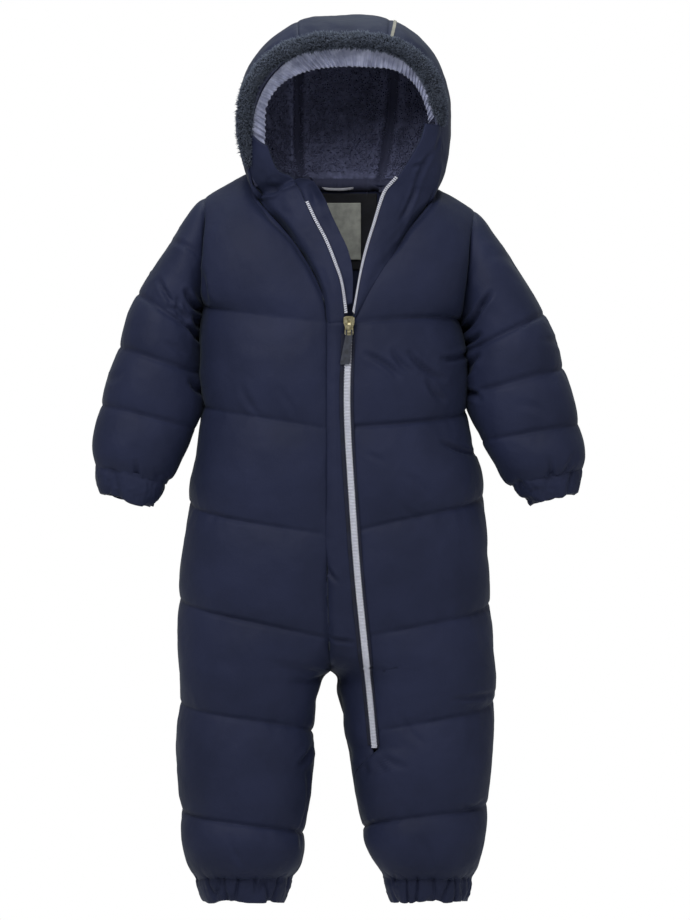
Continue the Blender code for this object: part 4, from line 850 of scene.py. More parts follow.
# Folds of the front and the back, in the front view.
FRONT_CREASES = rows_of(Crease,
    (24, -160, 56, -183, -3, 2.6, 4.4), (50, -157, 67, -177, 2, 2.4, 3.6),
    (66, -159, 97, -185, 3, 2.6, 4.8), (97, -165, 121, -159, 2, 2.6, 5.2),
    (83, -187, 99, -206, 2, 2.6, 3.6), (98, -248, 128, -260, 2, 2.6, 4.4),
    (26, -259, 42, -268, -1, 2.6, 1.8), (60, -279, 90, -303, -2, 3.4, 1.6),
    (58, -308, 78, -322, 2, 3.0, 1.4), (-96, -192, -80, -222, 2, 3.2, 1.8),
    (-60, -196, -44, -226, -2, 3.4, 1.4), (-134, -78, -131, -106, 0, 2.6, 4.0),
    (-14, -372, -3, -386, 1, 2.0, 3.6), (-11, -444, 12, -446, -1, 2.2, 3.0),
    (-52, -484, -16, -474, 3, 2.8, 2.6), (28, -564, 31, -578, 0, 2.2, 3.0),
    (38, -562, 48, -575, 0, 2.6, 2.8), (40, -556, 66, -571, 2, 3.0, 2.4),
    (-40, -576, -44, -650, -4, 2.2, 3.6), (-46, -568, -32, -551, 1, 2.6, 3.6),
    (110, -503, 150, -497, 1, 2.6, 2.6), (60, -520, 84, -548, 3, 3.5, 1.4),
    (120, -610, 140, -606, 4, 2.6, 2.4), (-110, -640, -96, -668, 2, 3.0, 1.6),
    (78, -640, 92, -668, -2, 3.0, 1.6),
)
BACK_CREASES = rows_of(Crease,
    (-138, -140, -92, -158, -3, 4.0, 2.4), (118, -158, 70, -172, 4, 4.0, 2.4),
    (-138, -182, -104, -176, 3, 3.6, 2.2), (-14, -160, 20, -172, 3, 4.0, 1.4),
    (-138, -246, -96, -254, 3, 3.6, 1.8), (128, -262, 92, -252, 3, 3.6, 1.8),
    (-70, -478, -30, -470, 3, 3.0, 3.0), (20, -470, 62, -482, -3, 3.0, 3.0),
    (-120, -560, -70, -548, 4, 3.2, 2.6), (70, -556, 120, -566, -4, 3.2, 2.6),
    (-30, -384, -16, -398, 0, 2.6, 3.2), (-96, -640, -80, -666, 2, 3.0, 1.8),
    (96, -642, 112, -666, -2, 3.0, 1.8),
)
# How far the outline of the body and the legs is drawn in at the side seam (outer) and at the inseam (inner).
TRIM_REACH = 28.0
Trim = namedtuple("Trim", "z outer inner")
BODY_TRIM = {
    RIGHT: rows_of(Trim,
        (-214, 0, 0), (-228, 2.5, 0), (-243, 4, 0), (-253, 4.5, 0), (-263, 4, 0), (-273, 2, 0),
        (-285, 0, 0), (-308, 0, 0), (-323, 2, 0), (-343, 3.2, 0), (-363, 2, 0), (-400, 0, 0), (-420, 0, 0),
        (-461, 2, 0), (-489, 1, 0), (-499, 0.5, 4.5), (-512, 0, 0.5), (-545, 1, 1.5), (-560, 1.5, 1.5),
        (-593, 1.5, 3.5), (-617, 1, 3), (-641, 3, 2), (-653, 2.5, 3), (-677, 0, 1), (-684, 0, 0),
    ),
    LEFT: rows_of(Trim,
        (-214, 0, 0), (-228, 1.5, 0), (-243, 3, 0), (-253, 4, 0), (-263, 0, 0), (-308, 0, 0), (-323, 3, 0),
        (-343, 4, 0), (-356, 4, 0), (-370, 2, 0), (-400, 0, 0), (-420, 0, 0), (-461, 2.5, 0), (-489, 1, 0),
        (-499, 1, 3.5), (-512, 2, 3), (-533, 3, 0.3), (-545, 3.2, 1), (-557, 3.3, 5), (-569, 3.3, 6.5),
        (-581, 3, 5), (-605, 0.5, 3), (-620, 0.5, 1.5), (-641, 2.5, 2.5), (-653, 2, 4), (-677, 0, 3.5),
        (-684, 0, 1),
    ),
}
# How deep each stitched line is at the centre and at the side, from the chest down.
Groove = namedtuple("Groove", "centre side")
GROOVES = {
    RIGHT: rows_of(Groove, (0.1, 0.45), (0.5, 0.9), (0.45, 1.1), (0.8, 1.1), (0.9, 1.0), (1.0, 0.9)),
    LEFT: rows_of(Groove, (1.6, 1.0), (1.6, 1.1), (0.7, 1.1), (0.5, 1.1), (0.5, 1.0), (0.8, 1.0)),
}


def row_means(values, reach):
    """Means over the rows on both sides of each row."""
    padded = np.concatenate([values[:1]] * reach + [values] + [values[-1:]] * reach)
    return sum(padded[k:k + len(values)] for k in range(2 * reach + 1)) / (2 * reach + 1)


def soft_rows(normals):
    """Directions evened out over neighbouring rows."""
    return unit(row_means(normals, 3))


def tucks(points, size, seed):
    """Narrow tucks of gathered cloth: -1 on the lines where a noise that is drawn out in height is zero."""
    return -bell(noise(points * (1, 1, 0.22), size, seed), 0.16)


def strip_width(z):
    """How far the left front's inner edge lies from the centre seam or the inseam at heights z."""
    return zip_edges(z)[1] * zip_share_at(z)[1]


# Heights of the crotch, of the body's change to the leg's outline, and of the seam's broad and tight turns.
CROTCH_Z, LEG_TOP_Z, BROAD_TURN_Z, TIGHT_TURN_Z = -463, -471, -450, -466


def crotch_fold(z, distance):
    """The deep fold down the centre seam to the crotch, and the cloth that closes it at its foot."""
    fold = ramp(z, *FOLD_TOP) * ramp(z, *FOLD_FOOT)
    closed = bell(z - CROTCH_Z, 6.0, 4)
    return 2.2 * closed * bell(distance, 4) - 2.2 * fold * bell(distance, 4.5)


def evened(points):
    """Points whose rows run evenly past the crotch, where the outline of the body changes to the leg's."""
    across = np.linspace(0, 1, points.shape[1])[None, :]
    near = bell(points[..., 2] - LEG_TOP_Z, 14, 4) * ramp(across, 0.12, 0.32)
    means = row_means(row_means(points, 2), 2)
    return points + (means - points) * near[..., None]


# Heights over which something sets in. Below the zip's end the strip and the left front share one padding.
PAST_ZIP = (ZIP_END_Z, ZIP_END_Z - 14)
UNDER_ARM_FOOT, UNDER_ARM_TOP = (-226, -218), (-96, -104)
FOLD_TOP, FOLD_FOOT = (-355, -385), (-457, -449)
NAPE, ABOVE_ANKLE = (-50, -10), (-640, -610)


def centre_dip(points, distance, seed):
    """The uneven dip beside the centre seam."""
    return seam_dip(distance, 0.5 * (1 + 0.6 * noise(points, 12, seed)), 3.0)


def crotch_allowance(z, most):
    """How far a piece runs on under the centre seam: further at the crotch, where the outline turns most."""
    return 1.0 + 1.5 * bell(z - BROAD_TURN_Z, 16) + most * bell(z - TIGHT_TURN_Z, 7)


def body_piece(side, face):
    """A front or back piece: its base points moved out by padding, grooves, unevenness, creases and seams.

    The padding is the channels' profile times the rise from both side edges. Grooves and puckers lie on the
    stitched lines, and the outline is drawn in at the side seam and at the inseam.
    """
    name = FACE_NAME[face] + "_" + SIDE_NAME[side]
    points, way = panel_base(side, face)
    points = evened(points)
    normals = soft_rows(directions(points))
    run, rest = edge_distances(points)
    z = points[..., 2]
    seeds = 40 * (2 * (side > 0) + (face > 0))
    beside_zip = (side, face) == (LEFT, FRONT)
    from_centre = run + strip_width(z[:, :1]) if beside_zip else run
    past_zip = ramp(z, *PAST_ZIP) * beside_zip
    from_seam = run + past_zip * (from_centre - run)
    under_arm = ramp(z, *UNDER_ARM_FOOT) * ramp(z, *UNDER_ARM_TOP)
    floor = SIDE_FLOOR + (UNDER_ARM_FLOOR - SIDE_FLOOR) * under_arm
    floor = np.where(np.arange(len(points))[:, None] < YOKE_FINE, 0.0, floor)
    height = BODY_SWELL * channel(way)[:, None] * rise_from(from_seam)
    height = height * (floor + (1 - floor) * rise_from(rest))
    across = run / run[:, -1:]
    strengths = [groove.centre + (groove.side - groove.centre) * across for groove in GROOVES[side]]
    at_edge = 0.12 * (1 - under_arm)
    edge = at_edge + (1 - at_edge) * rise_from(rest, 14)
    height += stitched(points, YOKE_FINE + CHANNEL_FINE * np.arange(CHANNELS), seeds, strengths, edge)
    inside = np.minimum(rise_from(run, EDGE_FADE), rise_from(rest, EDGE_FADE))
    height += (1.1 * cloudy(points, 46, seeds) + 0.35 * cloudy(points, 15, seeds + 9)) * inside
    height += creased(points, FRONT_CREASES if face == FRONT else BACK_CREASES) * inside
    to_cuff = np.maximum(z - STITCHES[side][-1].centre, 0)
    gathers = 2.4 * tucks(points, LEG_CUFF.tuck_size, 420 + side) + 0.9 * noise(points, 16, seeds + 6)
    height += gathers * np.exp(-to_cuff / GATHER_FADE) + seam_dip(rest, 0.7 * (1 - under_arm))
    at_nape = ramp(z, *NAPE) * (face == BACK)
    neck = (z > STITCHES[side][0].centre) * (face == FRONT)
    seam = centre_dip(points, run, seeds + 8) * (1 - at_nape) * ramp(z, *ABOVE_ANKLE)
    height += np.where(neck, neck_valley(side, z, run), seam * (1 - 0.8 * past_zip))
    height += puckered_seam(points, run, seeds + 9) * (1 - neck) + crotch_fold(z, from_centre)
    outer_trim, inner_trim = (table(BODY_TRIM[side], "z", at, z) for at in ("outer", "inner"))
    height -= outer_trim * bell(rest, TRIM_REACH) + inner_trim * bell(from_centre, TRIM_REACH)
    under_seam = crotch_allowance(z[:, 0], 4)
    outer = tucked(points + normals * height[..., None], normals, (1.0, 0.0), (under_seam, 1.2))
    return cloth(name, outer, points - normals * WALL)


STRIP_FINE = 25
# The strip rises towards the slider at its top.
STRIP_TOP_Z, STRIP_TOP_RISE = -129, 3.0


def strip_piece():
    """The strip between the centre seam and the zip, which narrows into the inseam below the zip's end."""
    points, way = lower_points(LEFT, FRONT, STRIP_FINE, high=lambda z: zip_edges(z)[0])
    kept = int((points[:, 0, 2] > STRIP_END_Z).sum()) // COARSE * COARSE + 1
    points = points[:kept]
    normals = soft_rows(directions(points, toward=(0, -1, 0)))
    run, rest = edge_distances(points)
    z = points[..., 2]
    narrow = ramp(z[:, :1], STRIP_END_Z, STRIP_END_Z + 60)
    past_zip = ramp(z, *PAST_ZIP)
    height = STRIP_SWELL * rise_from(np.minimum(run, rest), STRIP_FADE) * narrow * (1 - past_zip)
    height += BODY_SWELL * channel(way[:kept])[:, None] * rise_from(run) * past_zip
    height += 0.5 * cloudy(points, 22, 301) * narrow + creased(points, FRONT_CREASES)
    height += STRIP_TOP_RISE * bell(z - STRIP_TOP_Z, 8) * run / run[:, -1:]
    height += centre_dip(points, run, 303) + seam_dip(rest, 0.6 * (1 - past_zip))
    height += puckered_seam(points, run, 304) + crotch_fold(z, run)
    height -= table(BODY_TRIM[LEFT], "z", "inner", z) * bell(run, TRIM_REACH)
    under_seam = crotch_allowance(z[:, 0], 3)
    outer = tucked(points + normals * height[..., None], normals, (2.0, 0.0), (under_seam, 0.0))
    return cloth("front_strip", outer, points - normals * WALL)


# ---- sleeves ----
# Rows down a sleeve and columns round it.
SLEEVE_FINE, SLEEVE_ROUND = 160, 150


def ring_points(rings, at, turn, power):
    """Points on rounded rings; turn 0 is the outer edge and pi the under edge."""
    keys = np.arange(len(rings))
    outer_x, outer_z, under_x, under_z, y, depth = (
        smooth(keys, [getattr(ring, name) for ring in rings], at) for name in Ring._fields
    )
    along, across = power_of(np.cos(turn), power), power_of(np.sin(turn), power)
    x = (outer_x + under_x) / 2 + (outer_x - under_x) / 2 * along
    z = (outer_z + under_z) / 2 + (outer_z - under_z) / 2 * along
    return np.stack([x, y + depth * across, z], axis=-1)


def sleeve_points(side, at, turn):
    """Points of a sleeve's outline between its rings."""
    return ring_points(SLEEVES[side], at, turn, SLEEVE_POWER)


ARMHOLE_DIP = 1.6
# How deep the three stitched lines are, and the deepest that any fold goes.
SLEEVE_GROOVES = {RIGHT: (1.6, 1.7, 1.5), LEFT: (1.9, 1.9, 1.1)}
DEEPEST = -2.6
# Folds of a sleeve in the front view; its back has the same kind a little further on and lower.
SLEEVE_CREASES = {
    RIGHT: rows_of(Crease,
        (-166, -48, -138, -65, -2, 3, 1.6), (-181, -86, -168, -108, 1, 2.2, 5.0),
        (-155, -97, -139, -119, 2, 2.4, 6.5), (-172, -112, -155, -124, -2, 2.2, 5.5),
        (-163, -104, -160, -122, 1, 2.0, 3.0), (-150, -134, -139, -150, 1, 2.4, 5.5),
        (-147, -120, -140, -138, 1, 2.6, 4.5), (-158, -160, -178, -148, 2, 3, 1.6),
        (-152, -187, -141, -202, 1, 2.4, 5.0), (-236, -186, -214, -178, 3, 3.4, 1.4),
        (-233, -275, -219, -284, 0, 2.6, 3.0), (-204, -266, -203, -294, 0, 2.4, 3.4),
    ),
    LEFT: rows_of(Crease,
        (117, -143, 137, -120, 1, 2.4, 7.5), (135, -123, 150, -100, -1, 2.6, 5.5),
        (122, -152, 139, -139, 1, 2.4, 5.0), (121, -177, 138, -161, 1, 2.6, 6.0),
        (122, -189, 134, -172, -1, 2.6, 6.0), (125, -195, 141, -204, -1, 2.4, 4.5),
        (150, -60, 190, -90, -5, 5, 1.4), (200, -146, 226, -156, -3, 3.2, 1.6),
        (180, -210, 206, -222, -3, 3.6, 1.4), (208, -264, 210, -292, 0, 2.4, 3.4),
        (228, -262, 220, -284, 0, 2.6, 2.4),
    ),
}
# How far the under edge reaches past its own outline: it bears on the body, and swells at the cuff.
Press = namedtuple("Press", "ring reach")
PRESSED = {
    RIGHT: rows_of(Press,
        (0, 0.8), (0.5, 2.8), (1, 3.6), (3, 4.0), (4, 4.6), (5, 5.6), (5.65, 7.0), (5.85, 3.0), (6.1, 0.5),
        (6.5, 0), (7, 0), (7.5, 1.8), (7.8, 2.0), (8, 1.0),
    ),
    LEFT: rows_of(Press,
        (0, 0.8), (0.5, 2.8), (1, 3.6), (3, 4.0), (4, 4.6), (5, 5.4), (5.25, 6.0), (5.5, 3.6), (5.8, 0.5),
        (6.2, 0), (7, 1.0), (7.5, 3.2), (7.8, 3.6), (8, 1.5),
    ),
}
BACK_SHIFT = np.array([5.0, 0.0, 13.0])


def sleeve_piece(side):
    """A sleeve from the armhole to the cuff, with its first column on the under edge.

    The swell is the channels' profile, fullest where the sleeve faces the front or the back. Creases lie on
    both faces, and the under edge presses against the body.
    """
    at = np.linspace(0, LAST_RING, SLEEVE_FINE + 1)[:, None] * np.ones(SLEEVE_ROUND)
    turn = np.ones((SLEEVE_FINE + 1, 1)) * (math.pi + 2 * math.pi * np.arange(SLEEVE_ROUND) / SLEEVE_ROUND)
    points = sleeve_points(side, at, turn)
    normals = directions(points, ring=True)
    stitches = np.array(SLEEVE_STITCHES, float)
    below = np.clip(np.searchsorted(stitches, at[:, 0], side="right") - 1, 0, len(stitches) - 2)
    way = (at[:, 0] - stitches[below]) / (stitches[below + 1] - stitches[below])
    seeds = 200 + 20 * side
    facing = np.abs(np.sin(turn))
    outward = (1 + np.cos(turn)) / 2
    height = SLEEVE_SWELL * channel(way)[:, None] * (0.1 + 0.25 * outward + 0.65 * facing * outward**0.5)
    rows = [int(round(stitch / LAST_RING * SLEEVE_FINE)) for stitch in SLEEVE_STITCHES[1:-1]]
    height += stitched(points, rows, seeds, SLEEVE_GROOVES[side], 0.25 + 0.75 * facing)
    down = down_lengths(points)
    to_cuff = down[-1] - down
    inside = rise_from(down, EDGE_FADE)
    uneven = 1.1 * cloudy(points, 44, seeds + 3) + 0.35 * cloudy(points, 14, seeds + 7)
    height += uneven * inside * (0.4 + 0.6 * facing)
    in_front, behind = (
        creased(points - shift * [side, 0, 1], SLEEVE_CREASES[side]) for shift in (0 * BACK_SHIFT, BACK_SHIFT)
    )
    height += np.where(np.sin(turn) < 0, in_front, behind) * inside
    height += table(PRESSED[side], "ring", "reach", at) * (1 - outward) ** 10
    gathers = SLEEVE_CUFF.tuck_depth * tucks(points, SLEEVE_CUFF.tuck_size, 400 + 10 * side)
    height += (gathers + 0.9 * noise(points, 16, seeds + 12)) * np.exp(-to_cuff / GATHER_FADE)
    height -= ARMHOLE_DIP * (0.3 + 0.7 * facing) * bell(down, 2.4)
    height = np.maximum(height, DEEPEST)
    outer = tucked(points + normals * height[..., None], normals, (1.2, 0.0))
    return cloth("sleeve_" + SIDE_NAME[side], outer, points - normals * WALL, ring=True)


# ---- cuffs ----
CUFF_ROWS, CUFF_STEP, PER_GATHER = 24, 6, 18
# A cuff starts this share of its length above its seam, inside the piece above it.
CUFF_OVERLAP = 0.16


def cuff_piece(name, top, hem, cuff, facing, seeds):
    """A short gathered tube between two rings of points. Its tucks run on from the piece above it."""
    way = np.linspace(-CUFF_OVERLAP, 1, CUFF_ROWS + 1)[:, None]
    rings = top + (hem - top) * way[..., None]
    way = np.maximum(way, 0)
    out = rings - rings.mean(axis=1, keepdims=True)
    out = unit(out - facing * (out @ facing)[..., None])
    tuck = tucks(rings, cuff.tuck_size, seeds)
    soft = cuff.swell * channel(way) + 0.9 * noise(rings * (1, 1, 0.4), 16, seeds + 1)
    fine = 0.35 * noise(rings * (1, 1, 0.35), 2.6, seeds + 2) + 0.5 * noise(rings * (1, 1, 2), 7, seeds + 3)
    rings = rings + facing * ((2.2 * noise(rings, 13, seeds + 4) + 1.6 * tuck) * way**2)[..., None]
    bulge = soft + cuff.tuck_depth * tuck + fine
    inner = rings + out * (soft - cuff.tuck_depth - THIN_WALL)[..., None]
    return cloth(name, rings + out * bulge[..., None], inner, step=CUFF_STEP, ring=True)


def cuff_turns(cuff):
    """Angles of a cuff's columns."""
    columns = cuff.gathers * PER_GATHER
    return np.arange(columns) * 2 * math.pi / columns


def sleeve_cuff(side):
    """The gathered cuff between a sleeve's last ring and its hem, which hangs lower on its outer side."""
    turn = cuff_turns(SLEEVE_CUFF)
    end = sleeve_points(side, np.full(len(turn), float(LAST_RING)), turn)
    hem = ring_points((SLEEVE_HEM[side], SLEEVE_HEM[side]), np.zeros(len(turn)), turn, SLEEVE_POWER)
    facing = unit(hem.mean(axis=0) - end.mean(axis=0))
    outer = (1 + np.cos(turn[:, None])) / 2
    inward = unit(hem.mean(axis=0) - hem)
    hem = hem + facing * SLEEVE_DROP * (0.65 + 0.7 * outer) + inward * SLEEVE_DRAW_IN * outer
    hem[:, 0] += SLEEVE_SWAY[side]
    inside = end + unit(end.mean(axis=0) - end) * SLEEVE_CUFF.inset
    return cuff_piece("sleeve_cuff_" + SIDE_NAME[side], inside, hem, SLEEVE_CUFF, facing, 400 + 10 * side)


LEG_POWER = 2.2


def leg_ring(side, centre, reach, front, back, z, turn):
    """A level ring of points round a leg."""
    depth = np.where(np.sin(turn) < 0, front, back)
    x = centre + side * reach * power_of(np.cos(turn), LEG_POWER)
    return np.column_stack([x, depth * power_of(np.sin(turn), LEG_POWER), np.full_like(x, z)])


def leg_cuff(side):
    """The gathered cuff between a leg's last section and its hem."""
    turn = cuff_turns(LEG_CUFF)
    end, low, inset = SECTIONS[side][-1], LEG_HEM[side], LEG_CUFF.inset
    reach = abs(end.side - end.centre) - inset
    top_z = STITCHES[side][-1].centre
    top = leg_ring(side, end.centre, reach, end.front - inset, end.back - inset, top_z, turn)
    hem = leg_ring(side, low.centre, abs(low.side - low.centre), low.front, low.back, low.z, turn)
    facing = np.array([0.0, 0.0, -1.0])
    return cuff_piece("leg_cuff_" + SIDE_NAME[side], top, hem, LEG_CUFF, facing, 420 + side)


# ---- hood ----
HOOD_FINE, HOOD_COLUMNS = 150, 60
LINING_GAP = 0.6
LAST_FAN = len(ARCHES) - 1


def hood_points(side, angle_share, fan):
    """Points on one half of the hood: angle_share 0 is on the neckline and 1 on the crown line."""
    angle_share, fan = np.broadcast_arrays(np.asarray(angle_share, float), np.asarray(fan, float))
    keys = np.arange(len(ARCHES))
    spring = smooth(keys, [arch.right if side == RIGHT else arch.left for arch in ARCHES], fan)
    crown_y, crown_z, reach = (
        smooth(keys, [getattr(arch, name) for arch in ARCHES], fan)
        for name in ("crown_y", "crown_z", "reach")
    )
    base = np.abs(spring[..., 0] - HOOD_MIDDLE_X)
    reach = np.maximum(reach, base * 1.002)
    below = np.arccos(base / reach)
    level = np.sin(below) / (1 + np.sin(below))
    turn = -below + (math.pi / 2 + below) * angle_share
    power = np.where(turn > 0, HOOD_POWER[side], 2.0)
    rise = level + (1 - level) * power_of(np.sin(turn), power)
    return np.stack([
        HOOD_MIDDLE_X + side * reach * power_of(np.cos(turn), power),
        spring[..., 1] + (crown_y - spring[..., 1]) * rise,
        spring[..., 2] + (crown_z - spring[..., 2]) * rise,
    ], axis=-1)


def hood_seam_share(side, fans):
    """Where on each arch the seam between a side piece and the centre piece lies."""
    panel = smooth(np.arange(len(ARCHES)), [arch.panel for arch in ARCHES], fans)
    shares = np.linspace(0, 1, CURVE_STEPS)
    out = np.abs(hood_points(side, shares[None, :], fans[:, None])[..., 0] - HOOD_MIDDLE_X)
    widest = out.argmax(axis=1)
    return np.array([
        np.interp(-width, -row[start:], shares[start:]) for width, row, start in zip(panel, out, widest)
    ])


def hood_patch(part, short=0.0):
    """Base points of one of the hood's three pieces, from the face opening back to the nape.

    A side piece starts short of the neckline by a share of its height, before the shoulder.
    """
    fans = np.linspace(0, LAST_FAN, HOOD_FINE + 1)
    start = short * ramp(fans, 3.6, 3.0)[:, None]
    across = start + (1 - start) * np.linspace(0, 1, HOOD_COLUMNS + 1)[None, :]
    right, left = hood_seam_share(RIGHT, fans)[:, None], hood_seam_share(LEFT, fans)[:, None]
    if part != "centre":
        side, share = (RIGHT, right) if part == "right" else (LEFT, left)
        return hood_points(side, share * across, fans[:, None])
    half = np.linspace(0, 1, HOOD_COLUMNS // 2 + 1)[None, :]
    over_right = hood_points(RIGHT, right + (1 - right) * half, fans[:, None])
    over_left = hood_points(LEFT, left + (1 - left) * half, fans[:, None])
    return np.concatenate([over_right[:, :-1], over_left[:, ::-1]], axis=1)


HOOD_CREASES = rows_of(Crease,
    (96, 118, 104, 84, 2, 4, 1.2), (88, 52, 101, 30, -2, 4, 1.6), (60, 178, 92, 150, 4, 5, 1.0),
    (-94, 70, -102, 100, -2, 4, 1.2), (-20, 182, 30, 180, 3, 4, 0.9),
)


def hood_piece(part):
    """One of the hood's outer pieces: thin cloth with broad unevenness, a few creases and puckered seams."""
    points = hood_patch(part)
    normals = directions(points, toward=hood_outward(points))
    run, rest = edge_distances(points)
    seeds = {"right": 500, "centre": 510, "left": 520}[part]
    down = down_lengths(points)
    inside = np.minimum(rise_from(run, EDGE_FADE), rise_from(rest, EDGE_FADE)) * rise_from(down[-1] - down, 8)
    height = (1.3 * cloudy(points, 42, seeds) + 0.4 * cloudy(points, 13, seeds + 4)) * inside
    height += creased(points, HOOD_CREASES) * inside
    height += seam_dip(rest, 0.1 if part == "right" else 0.45)
    if part == "centre":
        height += seam_dip(run, 0.1)
    height += puckered_seam(points, rest, seeds + 6) + puckered_seam(points, run, seeds + 7)
    under_yoke = (3.0 + 4.0 * ramp(points[:, 0, 1], 20, 6)) * (part != "centre") + 0.5
    outer = tucked(points + normals * height[..., None], normals, (0.0, 2.0), (under_yoke, 1.0))
    return cloth("hood_" + part, outer, outer - normals * THIN_WALL)


def puckered_seam(points, distance, seed):
    """Small puckers beside a sewn seam."""
    return 0.5 * noise(points, 6.5, seed) * np.exp(-distance / 9) * (1 - np.exp(-distance / 1.5))


def hood_outward(points):
    """Directions away from the middle of the hood."""
    return points - np.array([HOOD_MIDDLE_X, 20.0, 60.0])


# The lining's two seams in the front view.
LINING_SEAMS = {
    RIGHT: rows_of(Middle, (200, -43), (117, -45), (60, -44.5), (10, -42)),
    LEFT: rows_of(Middle, (200, 48), (118, 54), (80, 51), (40, 45), (10, 40)),
}


# The lining's lower border turns forward and down at the nape.
NAPE_TURN = np.array([0, -1.5, -8])


def lining_piece(part):
    """The hood's lining: a wall with its uneven pile face towards the head.

    The pile parts in a groove along each seam, and painted shade darkens the groove. It is deeper at its
    borders, where it is sewn in, and painted shade darkens them and the bare band at the nape. Painted light
    makes the pile lighter where it stands higher and towards its lower middle, where light reaches into the
    hood.
    Gives the piece, its pile face, the directions towards the head, and where it is bare of hairs.
    """
    points = hood_patch(part, 0.07)
    normals = directions(points, toward=hood_outward(points))
    near = THIN_WALL + LINING_GAP
    row, column = np.arange(HOOD_FINE + 1), np.arange(HOOD_COLUMNS + 1)
    pile_height = 0.7 * cloudy(points, 9, 530) + 0.5 * noise(points, 3.2, 535)
    x, z = points[..., 0], points[..., 2]
    past = {side: x - table(LINING_SEAMS[side], "z", "x", z) for side in (RIGHT, LEFT)}
    seam = np.minimum(np.abs(past[RIGHT]), np.abs(past[LEFT]))
    behind = ramp(points[..., 1], -60, -40)
    groove = bell(seam, 4.2) * behind
    ridge = bell(past[RIGHT] + 6.5, 2.4) * behind
    pile_height += 2.2 * ridge - 2.8 * groove + 0.8 * bell(seam - 9.0, 4.0)
    inner = points - normals * (near + FUR_WALL + pile_height)[..., None]
    # The lowest band at the nape has no hairs, and painted shade darkens it.
    bare_and_shaded = ramp(inner[..., 2], 18, 15.5) * (points[..., 1] > 20)
    # The borders lie deeper, and painted shade darkens them.
    border = bell(row, 5.0)[:, None] * ramp(z, 60, 48)
    inner = inner - normals * 3.0 * border[..., None]
    inner[-1] += NAPE_TURN
    if part != "centre":
        border = np.maximum(border, bell(column, 2.0)[None, :])
        inner[:, 0] += NAPE_TURN * ramp(row, 104, 120)[:, None]
    # Painted light towards the lower middle of the lining, where light reaches into the hood.
    low = ramp(z, 62, 2) * bell(x - 3, 34)
    # The pile's tone: painted light where the pile stands higher and in the lower middle, painted shade in
    # the grooves, at the borders and in the nape band.
    shade = 0.27 + 0.2 * pile_height + 0.28 * low - 0.5 * groove - 1.2 * np.maximum(bare_and_shaded, border)
    tips = np.concatenate([shade.ravel(), np.zeros(shade[::COARSE, ::COARSE].size)])
    name = "hood_lining_" + part
    made = cloth(name, inner, points - normals * near, name + "_pile", LINING_FUR, "navy_fur", tips=tips)
    bare_and_shaded = np.maximum(bare_and_shaded, groove)
    if part != "centre":
        bare_and_shaded[:, :3] = 1.0
    bare_and_shaded[-5:] = 1.0
    return made, inner, -normals, bare_and_shaded


def first_arch(share):
    """The hood's front edge from the right neckline (0) over the crown (0.5) to the left neckline (1)."""
    share = np.asarray(share, float)
    right = hood_points(RIGHT, np.clip(2 * share, 0, 1), 0.0)
    left = hood_points(LEFT, np.clip(2 - 2 * share, 0, 1), 0.0)
    return np.where((share < 0.5)[..., None], right, left)


RIM_ROWS, RIM_SIDES = 460, 44
# The roll reaches this far back over the hood's edge.
RIM_OVERLAP = 4.6
# The pile's own reach: half-widths across and forward, and how far out over the hood's edge it lies.
Pile = namedtuple("Pile", "share across forward over")
PILE_ROLL = rows_of(Pile,
    (0.075, 0.8, 2.0, -3.0), (0.09, 2.2, 4.0, -3.0), (0.11, 4.0, 6.0, -1.8), (0.135, 5.5, 8.0, -0.5),
    (0.17, 6.3, 10.5, 2.0), (0.22, 6.5, 13.0, 4.6), (0.30, 6.0, 14.5, 5.5), (0.39, 7.2, 14.5, 0.8),
    (0.5, 6.0, 14.5, -2.5), (0.6, 6.0, 14.5, 0.3), (0.70, 6.0, 14.0, 2.7), (0.75, 6.4, 12.5, 2.4),
    (0.80, 5.8, 10.5, 0.5), (0.83, 3.5, 7.0, 0.5), (0.85, 1.0, 2.5, 0.5),
)


def arch_frame(share):
    """Points along the hood's edge, and its directions forward and outward."""
    centre = first_arch(share)
    along = unit(np.gradient(centre, axis=0))
    forward = np.array([0.0, -1.0, 0.0])
    forward = unit(forward - along * (along @ forward)[:, None])
    outward = np.cross(along, forward)
    outward *= np.sign(((centre - [HOOD_MIDDLE_X, -60.0, 60.0]) * outward).sum(axis=1))[:, None]
    return centre, forward, outward


def rim_surface():
    """Points and directions of the fur roll: an oval carried along the hood's edge, rounded at both ends."""
    share = np.linspace(PILE_ROLL[0].share, PILE_ROLL[-1].share, RIM_ROWS)
    centre, forward, outward = arch_frame(share)
    across, ahead, over = (table(PILE_ROLL, "share", name, share)[:, None] for name in Pile._fields[1:])
    turn = np.arange(RIM_SIDES) * 2 * math.pi / RIM_SIDES
    centre = centre + forward * (ahead - RIM_OVERLAP) + outward * over
    spread = outward[:, None] * (across * np.cos(turn))[..., None]
    spread = spread + forward[:, None] * (ahead * np.sin(turn))[..., None]
    return centre[:, None] + spread, unit(spread)


def rim_piece():
    """The fur roll with its clumps, and painted light that makes it a little lighter towards the right. Gives
    its points and directions.
    """
    points, normals = rim_surface()
    clumps = 0.9 * cloudy(points, 8, 560) + 0.6 * noise(points, 2.8, 565)
    rings = points + normals * (clumps - 0.9)[..., None]
    # Painted light: the tone rises towards the wearer's right, the side the key light comes from.
    shade = 0.3 + 0.3 * clumps - 0.0012 * points[..., 0]
    place(tube_mesh("hood_rim_fur", rings, RIM_FUR, tips=shade.ravel()), "navy_fur", "hood_rim")
    return rings, normals


# Locks on the rim, and places tried on each piece of the lining; then their lengths and their thickness.
RIM_HAIRS, LINING_HAIRS = 13500, 5000
RIM_LENGTHS, LINING_LENGTHS = (3.0, 6.5), (1.6, 3.6)
RIM_THICK, LINING_THICK = 1.3, 1.5


